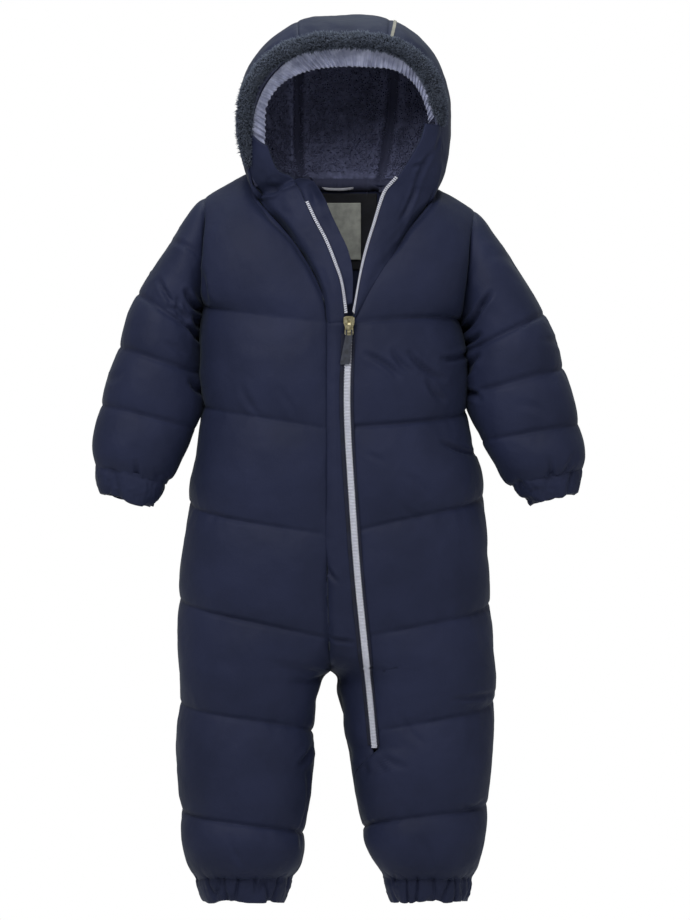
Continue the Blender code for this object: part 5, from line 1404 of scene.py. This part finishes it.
def tufts(name, roots, leans, lengths, thick, look, seed):
    """Many short curved hairs in one mesh: each is a three-sided spike with a bend, closed at its root.

    A spike has a ring of three points at its root, a narrower ring half way up that has bent over, and a tip.
    """
    rng = np.random.default_rng(seed)
    count = len(roots)
    up = unit(leans)
    side = unit(np.cross(up, rng.normal(size=(count, 3))))
    other = np.cross(up, side)
    bend = unit(rng.normal(size=(count, 3))) * 0.35
    turn = np.arange(3) * 2 * math.pi / 3
    ring = side[:, None] * np.cos(turn)[:, None] + other[:, None] * np.sin(turn)[:, None]
    middle = roots + (up + bend * 0.3) * lengths[:, None] * 0.55
    tip = roots + unit(up + bend) * lengths[:, None]
    root_ring = roots[:, None] - up[:, None] * 0.4 + ring * thick / 2
    middle_ring = middle[:, None] + ring * thick * 0.38
    vertices = np.concatenate([root_ring, middle_ring, tip[:, None]], axis=1)
    quads = [(k, (k + 1) % 3, (k + 1) % 3 + 3, k + 3) for k in range(3)]
    caps = [(k + 3, (k + 1) % 3 + 3, 6) for k in range(3)] + [(2, 1, 0)]
    start = 7 * np.arange(count)[:, None, None]
    faces = (np.array(quads)[None] + start).reshape(-1, 4).tolist()
    faces += (np.array(caps)[None] + start).reshape(-1, 3).tolist()
    # Painted shade: each hair is drawn dark at its root and lighter towards its tip, as shade falls deep in
    # the pile.
    tips = np.tile([0.15, 0.15, 0.15, 0.5, 0.5, 0.5, 1.0], count)
    made = make_object(name, vertices.reshape(-1, 3), faces, look, tips=tips)
    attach(made, "suit")
    return made


def pick(points, normals, count, seed, keep=None):
    """Random places on a grid of points, kept where keep allows, with their directions and the generator."""
    rng = np.random.default_rng(seed)
    row = rng.integers(1, points.shape[0] - 1, count)
    column = rng.integers(0, points.shape[1], count)
    if keep is not None:
        held = keep(row, column, rng)
        row, column = row[held], column[held]
    near = unit(rng.normal(size=(len(row), 3)))
    return points[row, column] + near * 0.6, normals[row, column], rng


def rim_tufts(rings, normals):
    """Locks of the rim's pile: they lean out from the face and along the edge, in drifts about 20 mm long."""
    roots, out, rng = pick(rings, normals, RIM_HAIRS, 71)
    away = unit(roots - np.array([HOOD_MIDDLE_X, -40.0, 60.0]))
    drift = np.stack([noise(roots, 20, 73 + k) for k in range(3)], axis=1)
    lean = out + 0.5 * away + 0.9 * drift + 0.3 * rng.normal(size=roots.shape)
    lengths = rng.uniform(*RIM_LENGTHS, len(roots))
    return tufts("hood_rim_hairs", roots, lean, lengths, RIM_THICK, RIM_FUR, 72)


def lining_tufts(parts):
    """Locks of the lining's pile, which hang a little and lean in drifts about 16 mm long."""
    groups = [
        pick(points, normals, LINING_HAIRS, 80 + k,
             lambda row, column, rng: rng.random(len(row)) > bare_and_shaded[row, column])
        for k, (points, normals, bare_and_shaded) in enumerate(parts)
    ]
    roots = np.concatenate([group[0] for group in groups])
    out = np.concatenate([group[1] for group in groups])
    rng = groups[0][2]
    drift = np.stack([noise(roots, 16, 83 + k) for k in range(3)], axis=1)
    lean = out + np.array([0, 0, -0.4]) + 0.8 * drift + 0.3 * rng.normal(size=roots.shape)
    lengths = rng.uniform(*LINING_LENGTHS, len(roots))
    return tufts("hood_lining_hairs", roots, lean, lengths, LINING_THICK, LINING_FUR, 90)


BAND_ROWS, BAND_COLUMNS, BAND_GATHERS = 15, 900, 50
BAND_THICK = 1.2
# Where the ribbon's free edge lies in the front view, for each share of the hood's edge.
Free = namedtuple("Free", "share x z")
FREE_EDGE = rows_of(Free,
    (0.125, -77.5, 44), (0.16, -75.5, 58), (0.19, -75.5, 72), (0.22, -74.5, 86), (0.26, -67, 101),
    (0.30, -56, 112), (0.345, -42, 119.5), (0.39, -27, 124), (0.45, -8, 126.5), (0.5, 9, 127),
    (0.55, 26, 126.5), (0.6, 44, 125.5), (0.65, 59, 121), (0.69, 69.5, 113.5), (0.73, 77.5, 103),
    (0.77, 83, 91), (0.81, 86.5, 78), (0.83, 87.5, 71),
)


def band_piece():
    """The gathered ribbon inside the fur: uneven tucks that deepen towards its free edge."""
    share = np.linspace(FREE_EDGE[0].share, FREE_EDGE[-1].share, BAND_COLUMNS + 1)
    edge, _, outward = arch_frame(share)
    sewn = edge - unit(outward * (1, 0, 1)) * BAND_INSET
    free_x, free_z = (table(FREE_EDGE, "share", name, share) for name in ("x", "z"))
    free = np.stack([free_x, edge[:, 1], free_z], axis=1)
    width = np.linalg.norm(free - sewn, axis=1)
    inward = unit(free - sewn)
    way = np.linspace(0, 1, BAND_ROWS + 1)[:, None]
    rows = sewn + (free - sewn) * way[..., None]
    rows[..., 1] += BAND_BEHIND + BAND_SLOPE * way
    phase = 2 * math.pi * BAND_GATHERS * (share - share[0]) / (share[-1] - share[0])
    tuck = np.cos(phase + 2.6 * noise(edge, 14, 601) + 0.9 * way * noise(edge, 6, 602))
    tuck = tuck * (1 + 0.6 * noise(edge, 9, 603)) * np.clip(width / 10, 0.25, 1)
    fold = (0.5 + 1.0 * way) * tuck + 0.25 * noise(rows, 2.2, 604)
    rows[..., 1] -= fold
    rows += inward * (0.7 * tuck * way**2)[..., None]
    return cloth("hood_band", rows, rows + [0, BAND_THICK, 0], "hood_band_ribbon", SATIN, "pale_band")


# ---- collar ----
COLLAR_FINE, COLLAR_ACROSS = 160, 60
# Folds of the collar in the front view.
COLLAR_CREASES = {
    RIGHT: rows_of(Crease,
        (-45, 9, -38, -12, 0, 3.0, 1.6), (-62, -6, -50, -22, 3, 5, 1.0), (-75, 6, -61, 4, 0, 3.6, 2.6),
        (-52, -38, -34, -62, -2, 3.5, 1.2), (-40, -56, -30, -70, 0, 2.2, -1.4),
        (-43, -58, -33, -68, 0, 2.4, 2.6), (-18, -70, -12, -100, 2, 4, 0.9),
    ),
    LEFT: rows_of(Crease,
        (98, 58, 94, 45, 0, 2.6, 2.6), (88, 41, 75, 13, 1, 2.4, 2.8), (75, 13, 59, -26, -2, 2.2, 2.6),
        (72, 27, 81, 31, 0, 2.0, 2.2), (68, -2, 60, -22, 1, 4.5, 1.4), (84, -12, 66, -45, 3, 2.6, 2.4),
        (66, -45, 46, -68, 2, 3.0, 1.8), (50, -52, 32, -92, -2, 5, 0.9),
    ),
}
# The folded top of the right collar: the cloth above it lies deeper. x and z are in the front view.
LEDGE = rows_of(Middle,
    (-2, -82), (-0.5, -73), (0.5, -65), (7.5, -57), (10, -50.7), (13, -44), (15, -37), (15, -20),
)
LEDGE_DROP, LEDGE_LIP = 6.5, 1.2


def ledge(points):
    """The height of a soft lip below the ledge's line, and of the step down above it, which fades upwards."""
    above = points[..., 2] - table(LEDGE, "x", "z", points[..., 0])
    step = ramp(above, -1.5, 1.5)
    drop = LEDGE_DROP * step**2 * (3 - 2 * step) * np.exp(-np.maximum(above, 0) / 22)
    return LEDGE_LIP * bell(above + 2.5, 2.5) - drop


def collar_lines(side):
    """Points along the collar's seam, up the hood's edge and down the neckline, and along its free edge."""
    shares = np.array(SEAM_ON_HOOD[side]) * hood_seam_share(side, np.zeros(1))[0]
    neck = np.array(NECKLINE_FRONT[side], float)[3:]
    if side == LEFT:
        neck[-1] = COLLAR_FOOT
    seam = np.concatenate([hood_points(side, shares, 0.0), neck])
    return seam, np.array(COLLAR_EDGE[side], float)


def collar_grid(side, fine, across):
    """Points between the collar's seam (across 0) and its free edge (across 1) at the stations given."""
    seam, edge = collar_lines(side)
    keys = np.arange(len(edge))
    start, end = smooth(keys, seam, fine)[:, None], smooth(keys, edge, fine)[:, None]
    across = np.asarray(across)[None, :, None]
    return start * (1 - across) + end * across


def collar_piece(side):
    """Half of the collar: a soft swell between seam and free edge, the fold at the neck, and creases."""
    across = np.linspace(0, 1, COLLAR_ACROSS + 1)
    points = collar_grid(side, np.linspace(0, len(COLLAR_EDGE[side]) - 1, COLLAR_FINE + 1), across)
    normals = directions(points, toward=(0, -1, 0))
    run, rest = edge_distances(points)
    fullness = ramp(run[:, -1:], 0, COLLAR_FULL_WIDTH)
    height = COLLAR_SWELL * fullness * np.sin(math.pi * across) ** 0.8
    seeds = 620 + 10 * side
    inside = np.minimum(rise_from(run, COLLAR_FADE), rise_from(rest, COLLAR_FADE))
    height += (1.0 * cloudy(points, 26, seeds) + 0.35 * cloudy(points, 9, seeds + 4)) * inside * fullness
    z = points[..., 2]
    below_hood = 1 - 0.85 * ramp(z, -5, 7)
    height += creased(points, COLLAR_CREASES[side]) * inside + neck_valley(side, z, run) * below_hood
    if side == RIGHT:
        height += ledge(points)
    height += puckered_seam(points, run, seeds + 5)
    under_hood = 1.0 + 4.0 * ramp(z[:, 0], -8, -2)
    outer = tucked(points + normals * height[..., None], normals, (0.0, 2.2), (under_hood, 0.0))
    return cloth("collar_" + SIDE_NAME[side], outer, outer - normals * THIN_WALL)


# ---- zip ----
CHAIN_HALF, CHAIN_PITCH, BRANCH_PITCH = 3.6, 1.45, 2.1
# Teeth: along the zip, across it and out from it.
CHAIN_TOOTH, BRANCH_TOOTH = (1.12, 6.3, 1.5), (1.4, 3.1, 2.04)
# The woven tape shows this far past the chain on each side, and is this thick.
TAPE_SHOWN, TAPE_THICK = {RIGHT: 4.0, LEFT: 2.6}, 1.1
# The section of the tape under the closed teeth, across and out: highest in its middle.
TAPE_SECTION = ((-3.5, -WALL), (-3.5, 0.3), (-1.2, 0.6), (1.2, 0.6), (3.5, 0.3), (3.5, -WALL))


def line_lengths(line):
    """Distance of each point of one line from its first."""
    return lengths_along(line[None])[0]


def blocks(name, centres, along, across, out, sizes):
    """Many small bevelled teeth in one mesh. sizes are along, across and out, in millimetres."""
    half = np.array(sizes) / 2
    layers = []
    for level, shrink in ((-1, 0.8), (-0.45, 1.0), (0.45, 1.0), (1, 0.72)):
        for a, b in ((-1, -1), (1, -1), (1, 1), (-1, 1)):
            layers.append((a * half[0] * shrink, b * (half[1] - half[2] * (1 - shrink)), level * half[2]))
    offsets = np.array(layers)
    corners = (centres[:, None] + along[:, None] * offsets[:, :1] + across[:, None] * offsets[:, 1:2]
               + out[:, None] * offsets[:, 2:3])
    quads = [(3, 2, 1, 0), (12, 13, 14, 15)]
    quads += [(4 * r + k, 4 * r + (k + 1) % 4, 4 * r + 4 + (k + 1) % 4, 4 * r + 4 + k)
              for r in range(3) for k in range(4)]
    turned = (np.cross(along[0], across[0]) @ out[0]) < 0
    quads = [quad[::-1] for quad in quads] if turned else quads
    start = 16 * np.arange(len(centres))[:, None, None]
    faces = (np.array(quads)[None] + start).reshape(-1, 4).tolist()
    made = make_object(name, corners.reshape(-1, 3), faces, TEETH)
    made.data.set_sharp_from_angle(angle=math.radians(40))
    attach(made, "suit")
    return made


def zip_frame(z):
    """Points and directions along the closed zip at heights z: middle, down, across and outward."""
    share, length = zip_share_at(z)
    near = body_points(LEFT, FRONT, share - CHAIN_HALF / length, z)
    far = body_points(LEFT, FRONT, share + CHAIN_HALF / length, z)
    middle = (near + far) / 2
    across = unit(far - near)
    down = unit(np.gradient(middle, axis=0))
    out = unit(np.cross(across, down))
    out = out * np.sign(-out[:, 1:2])
    return middle, down, across, out


def closed_zip():
    """The closed part of the zip: a dark tape with one row of meshed teeth."""
    z = np.linspace(ZIP_TOP_Z, ZIP_END_Z, 260)
    middle, down, across, out = zip_frame(z)
    rings = np.stack([middle + across * aside + out * over for aside, over in TAPE_SECTION], axis=1)
    tape = tube_mesh("zip_closed_tape", rings, TAPE)
    run = line_lengths(middle)
    places = np.arange(0.8, run[-1] - 0.8, CHAIN_PITCH)
    at = np.interp(places, run, z)
    middle, down, across, out = zip_frame(at)
    shift = 0.35 * (-1.0) ** np.arange(len(at))
    centres = middle + across * shift[:, None] + out * 0.75
    teeth = blocks("zip_closed_teeth", centres, down, across, out, CHAIN_TOOTH)
    place(tape, "zip_chain", "zip_chain")
    place(teeth, "zip_chain", "zip_chain")


def tape_piece(sign):
    """The woven tape that shows beside the teeth: it lies on the cloth along the zip."""
    z = np.linspace(ZIP_TOP_Z - 8, ZIP_END_Z + 4, 241)
    share, length = zip_share_at(z)
    reach = TAPE_SHOWN[sign] * np.linspace(0, 1, COARSE + 1)
    place_at = share[:, None] + sign * (ZIP_HALF_GAP - 0.5 + reach) / length[:, None]
    points = body_points(LEFT, FRONT, place_at, z[:, None])
    normals = directions(points, toward=(0, -1, 0))
    swell, fade, part = (STRIP_SWELL, STRIP_FADE, 0.9) if sign == RIGHT else (BODY_SWELL, SEAM_FADE, 0.8)
    lift = 0.45 + swell * rise_from(reach, fade) * part
    outer = points + normals * lift[None, :, None]
    name = "zip_tape_" + SIDE_NAME[sign]
    return cloth("zip_chain", outer, outer - normals * TAPE_THICK, name, TAPE, "zip_chain")


def branch(side):
    """Half of the open zip: a narrow tape along the collar's free edge, with single teeth."""
    name = "zip_branch_" + SIDE_NAME[side]
    first = len(SEAM_ON_HOOD[side]) + ZIP_TOP_STATION[side]
    last = len(COLLAR_EDGE[side]) - 1 - BRANCH_SHORT[side]
    fine = np.linspace(first, last, 200)
    grid = collar_grid(side, fine, np.linspace(0.8, 1, 5))
    out = directions(grid, toward=(0, -1, 0))[:, -1]
    line = grid[:, -1]
    across = unit(grid[:, -1] - grid[:, -2])
    across = unit(across - out * (across * out).sum(axis=1, keepdims=True))
    near, far = line + across * 0.2, line + across * 2.6
    rings = np.stack([near + out * 0.2, far + out * 0.2, far - out * 0.8, near - out * 0.8], axis=1)
    place(tube_mesh(name + "_tape", rings, TAPE), "zip_chain", name)
    run = line_lengths(line)
    at = np.arange(1.0, run[-1] - 1.0, BRANCH_PITCH)
    spread = [np.stack([np.interp(at, run, values[:, k]) for k in range(3)], axis=1)
              for values in (line, across, out, np.gradient(line, axis=0))]
    spot, across, out, down = spread[0], unit(spread[1]), unit(spread[2]), unit(spread[3])
    centres = spot + across * (0.5 + BRANCH_TOOTH[1] / 2) - out * 0.2
    place(blocks(name + "_teeth", centres, down, across, out, BRANCH_TOOTH), "zip_chain", name)


# ---- inside the neck ----
# Spans across and down in the front view, and how far in from the back's surface each piece lies.
LABEL_X, LABEL_Z = (-15.0, 20.0), (-7.0, -64.0)
LOOP_X, LOOP_Z, LOOP_HEIGHT = (-20.0, 12.5), 1.5, 2.6
# How far the loop bows out, how far above its place it stands, and how far its middle sags below its ends.
LOOP_BOW, LOOP_LIFT, LOOP_SAG, LOOP_THICK = 2.2, 5.0, 1.2, 1.2
FACING_X, FACING_Z, FACING_NEAR, FACING_THICK = (-44.0, 36.0), (2.5, -74.0), WALL + 1.1, 1.2
LABEL_NEAR, LABEL_THICK = FACING_NEAR + FACING_THICK + 0.7, 0.8


def back_inside(xs, zs, depth):
    """A coarse grid of points inside the back yoke at the x and z given, at a depth in from its surface."""
    share = np.linspace(0, 0.6, 25)[None, :]
    station = np.linspace(2, YOKE_ROWS, 43)
    grids = {side: yoke_points(side, BACK, share, station) for side in (RIGHT, LEFT)}
    columns = []
    for x in xs:
        side = LEFT if x > CENTRE_SEAM[0].x else RIGHT
        reached = [row for row in grids[side] if side * row[0, 0] <= side * x]
        heights = [np.interp(side * x, side * row[:, 0], row[:, 2]) for row in reached]
        depths = [np.interp(side * x, side * row[:, 0], row[:, 1]) for row in reached]
        columns.append(np.interp(-zs, -np.array(heights), depths))
    x, z = np.meshgrid(xs, zs)
    return np.stack([x, np.array(columns).T - depth, z], axis=-1)


def between(grid, rows, columns):
    """A coarse grid's points on a finer one, and the places of the fine columns on the coarse grid."""
    row, column = np.meshgrid(
        np.linspace(0, grid.shape[0] - 1, rows * COARSE + 1),
        np.linspace(0, grid.shape[1] - 1, columns * COARSE + 1), indexing="ij",
    )
    return sample(grid, row, column), column


def patch(name, spans, sizes, near, thick, look, slot, wave, seed):
    """A flat piece of cloth inside the back of the neck, with soft waves."""
    points, _ = between(back_inside(np.linspace(*spans[0], 9), np.linspace(*spans[1], 7), near), *sizes)
    back = points + [0, thick, 0]
    points[..., 1] -= wave * cloudy(points, 18, seed)
    return cloth(name, points, back, None, look, slot)


def neck_pieces():
    """The facing, the blank label and the hanger loop, a ribbon that bows out and sags in its middle."""
    # The facing's near-black colour is painted shade inside the neck.
    facing = patch("neck_facing", (FACING_X, FACING_Z), (12, 14), FACING_NEAR, FACING_THICK,
                   FACING, "facing_cloth", 0.3, 640)
    label = patch("neck_label", (LABEL_X, LABEL_Z), (12, 8), LABEL_NEAR, LABEL_THICK,
                  LABEL_RIBBON, "label_cloth", 0.5, 641)
    heights = np.array([LOOP_Z + LOOP_HEIGHT / 2, LOOP_Z, LOOP_Z - LOOP_HEIGHT / 2])
    points, column = between(back_inside(np.linspace(*LOOP_X, 9), heights, LABEL_NEAR), 2, 8)
    points[..., 1] -= LOOP_BOW * np.sin(math.pi * column / 8) ** 0.5
    points[..., 2] += LOOP_LIFT + LOOP_SAG * (column / 4 - 1) ** 2
    front = points - [0, LOOP_THICK, 0]
    loop = cloth("hanger_loop", points, front, "hanger_loop_ribbon", LOOP_RIBBON, "pale_band")
    return facing, label, loop


FLAP_CREASES = rows_of(Crease, (-31, 10, -23, -12, 0, 5.5, 6.0), (-22, -20, -8, -44, 1, 4.0, 0.8))


def flap_piece():
    """The flap behind the right half of the open zip."""
    fine = np.linspace(FLAP[0].station, FLAP[-1].station, 121)
    grid = collar_grid(RIGHT, fine, np.array([0.6, 0.8, 1.0]))
    out = directions(grid, toward=(0, -1, 0))[:, -1][:, None]
    edge, across = grid[:, -1][:, None], unit(grid[:, -1] - grid[:, -2])[:, None]
    width, back = (table(FLAP, "station", name, fine)[:, None, None] for name in ("width", "back"))
    way = np.linspace(-0.25, 1, 31)[None, :, None]
    seam = THIN_WALL + 0.35
    points = edge + across * width * way - out * (seam + (back - seam) * np.maximum(way, 0))
    rise = 0.8 * cloudy(points, 16, 650) + creased(points, FLAP_CREASES)
    points[..., 1] -= rise * rise_from(way[..., 0] * 20, 6)
    return cloth("wind_flap", points, points + [0.0, 1.6, 0.0])


# The tab's place along the hood's edge, and its width as a share of one side.
TAB_SHARE, TAB_WIDTH = 0.598, 2.2 / 150


def tab_piece():
    """A short pale ribbon over the hood's edge."""
    fans = np.linspace(0.4, 2.0, 41)[:, None]
    share = 2 - 2 * TAB_SHARE + np.linspace(-0.5, 0.5, 11)[None, :] * TAB_WIDTH
    points = hood_points(LEFT, share, fans)
    normals = directions(points, toward=hood_outward(points))
    outer = points + normals * 1.3
    return cloth("hood_tab", outer, points + normals * 0.3, "hood_tab_ribbon", TAB_RIBBON, "label_cloth")


# ---- building ----
sheets = [body_piece(side, face) for side in (RIGHT, LEFT) for face in (FRONT, BACK)]
sheets.append(strip_piece())
for side in (RIGHT, LEFT):
    sheets += [sleeve_piece(side), sleeve_cuff(side), leg_cuff(side), collar_piece(side)]
    branch(side)
linings = []
for part in ("right", "centre", "left"):
    sheets.append(hood_piece(part))
    made, *face = lining_piece(part)
    sheets.append(made)
    linings.append(face)
lining_tufts(linings)
rim_tufts(*rim_piece())
sheets.append(band_piece())
closed_zip()
sheets += [tape_piece(RIGHT), tape_piece(LEFT)]
sheets += neck_pieces()
sheets += [flap_piece(), tab_piece()]

for name, look in (("zip_slider", BRASS), ("zip_pull", RUBBER)):
    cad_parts[name].data.materials.clear()
    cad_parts[name].data.materials.append(look)

# A flat cut of a piece of cloth in metres: width, length and the share of that rectangle that is cloth. No
# piece is given one here.
Cut = namedtuple("Cut", "width length share held")

# ---- stage, light and camera ----
# Metres, as all that follows.
FLOOR_Z = -0.90
floor_mesh = bpy.data.meshes.new("floor")
corners = [(x, y, FLOOR_Z) for x, y in ((-3, -3), (3, -3), (3, 1), (-3, 1))]
floor_mesh.from_pydata(corners, [], [(0, 1, 2, 3)])
floor_mesh.materials.append(new_look("pale_floor", Base_Color=linear("#E9E9EA"), Roughness=0.9)[0])
floor = in_scene("floor", floor_mesh)

world = bpy.data.worlds.new("studio")
bpy.context.scene.world = world
world.use_nodes = True
# A white studio: the backdrop is seen at full white, and it lights the cloth a little less.
tree = world.node_tree
backdrop = tree.nodes["Background"].inputs
seen = node(tree, "LightPath")
level = node(tree, "MapRange", {"To Min": 0.38, "To Max": 1.0}, {"Value": (seen, "Is Camera Ray")})
tree.links.new(level.outputs[0], backdrop["Strength"])
backdrop["Color"].default_value = (1, 1, 1, 1)


def soft_light(name, place_at, aim, size, power):
    """A large square area light that faces a point. Gives its data."""
    data = bpy.data.lights.new(name, "AREA")
    data.size, data.energy = size, power
    light = in_scene(name, data)
    light.location = place_at
    x, y, z = np.array(aim) - np.array(place_at)
    light.rotation_euler = (math.atan2(math.hypot(x, y), -z), 0, math.atan2(y, x) - math.pi / 2)
    return data


# Each light's place, the point that it faces, its size and its power in watts.
soft_light("key", (-0.6, -1.4, 1.1), (0, 0, -0.15), 1.3, 30)
soft_light("top", (0.1, 0.5, 1.5), (0, 0, 0.1), 1.0, 15).color = (0.9, 1.0, 0.95)
soft_light("fill", (1.6, -1.8, 0.3), (0, 0, -0.1), 1.6, 9)

# A very long lens from 16 m away, so that the view is nearly parallel.
camera_data = bpy.data.cameras.new("view")
camera_data.lens = 626.1
camera_data.sensor_width = 36
camera_data.clip_end = 60
camera = in_scene("view", camera_data)
camera.location = (0.004, -16.0, -0.265)
camera.rotation_euler = (math.pi / 2, 0, 0)
bpy.context.scene.camera = camera
bpy.context.scene.view_settings.view_transform = "Standard"
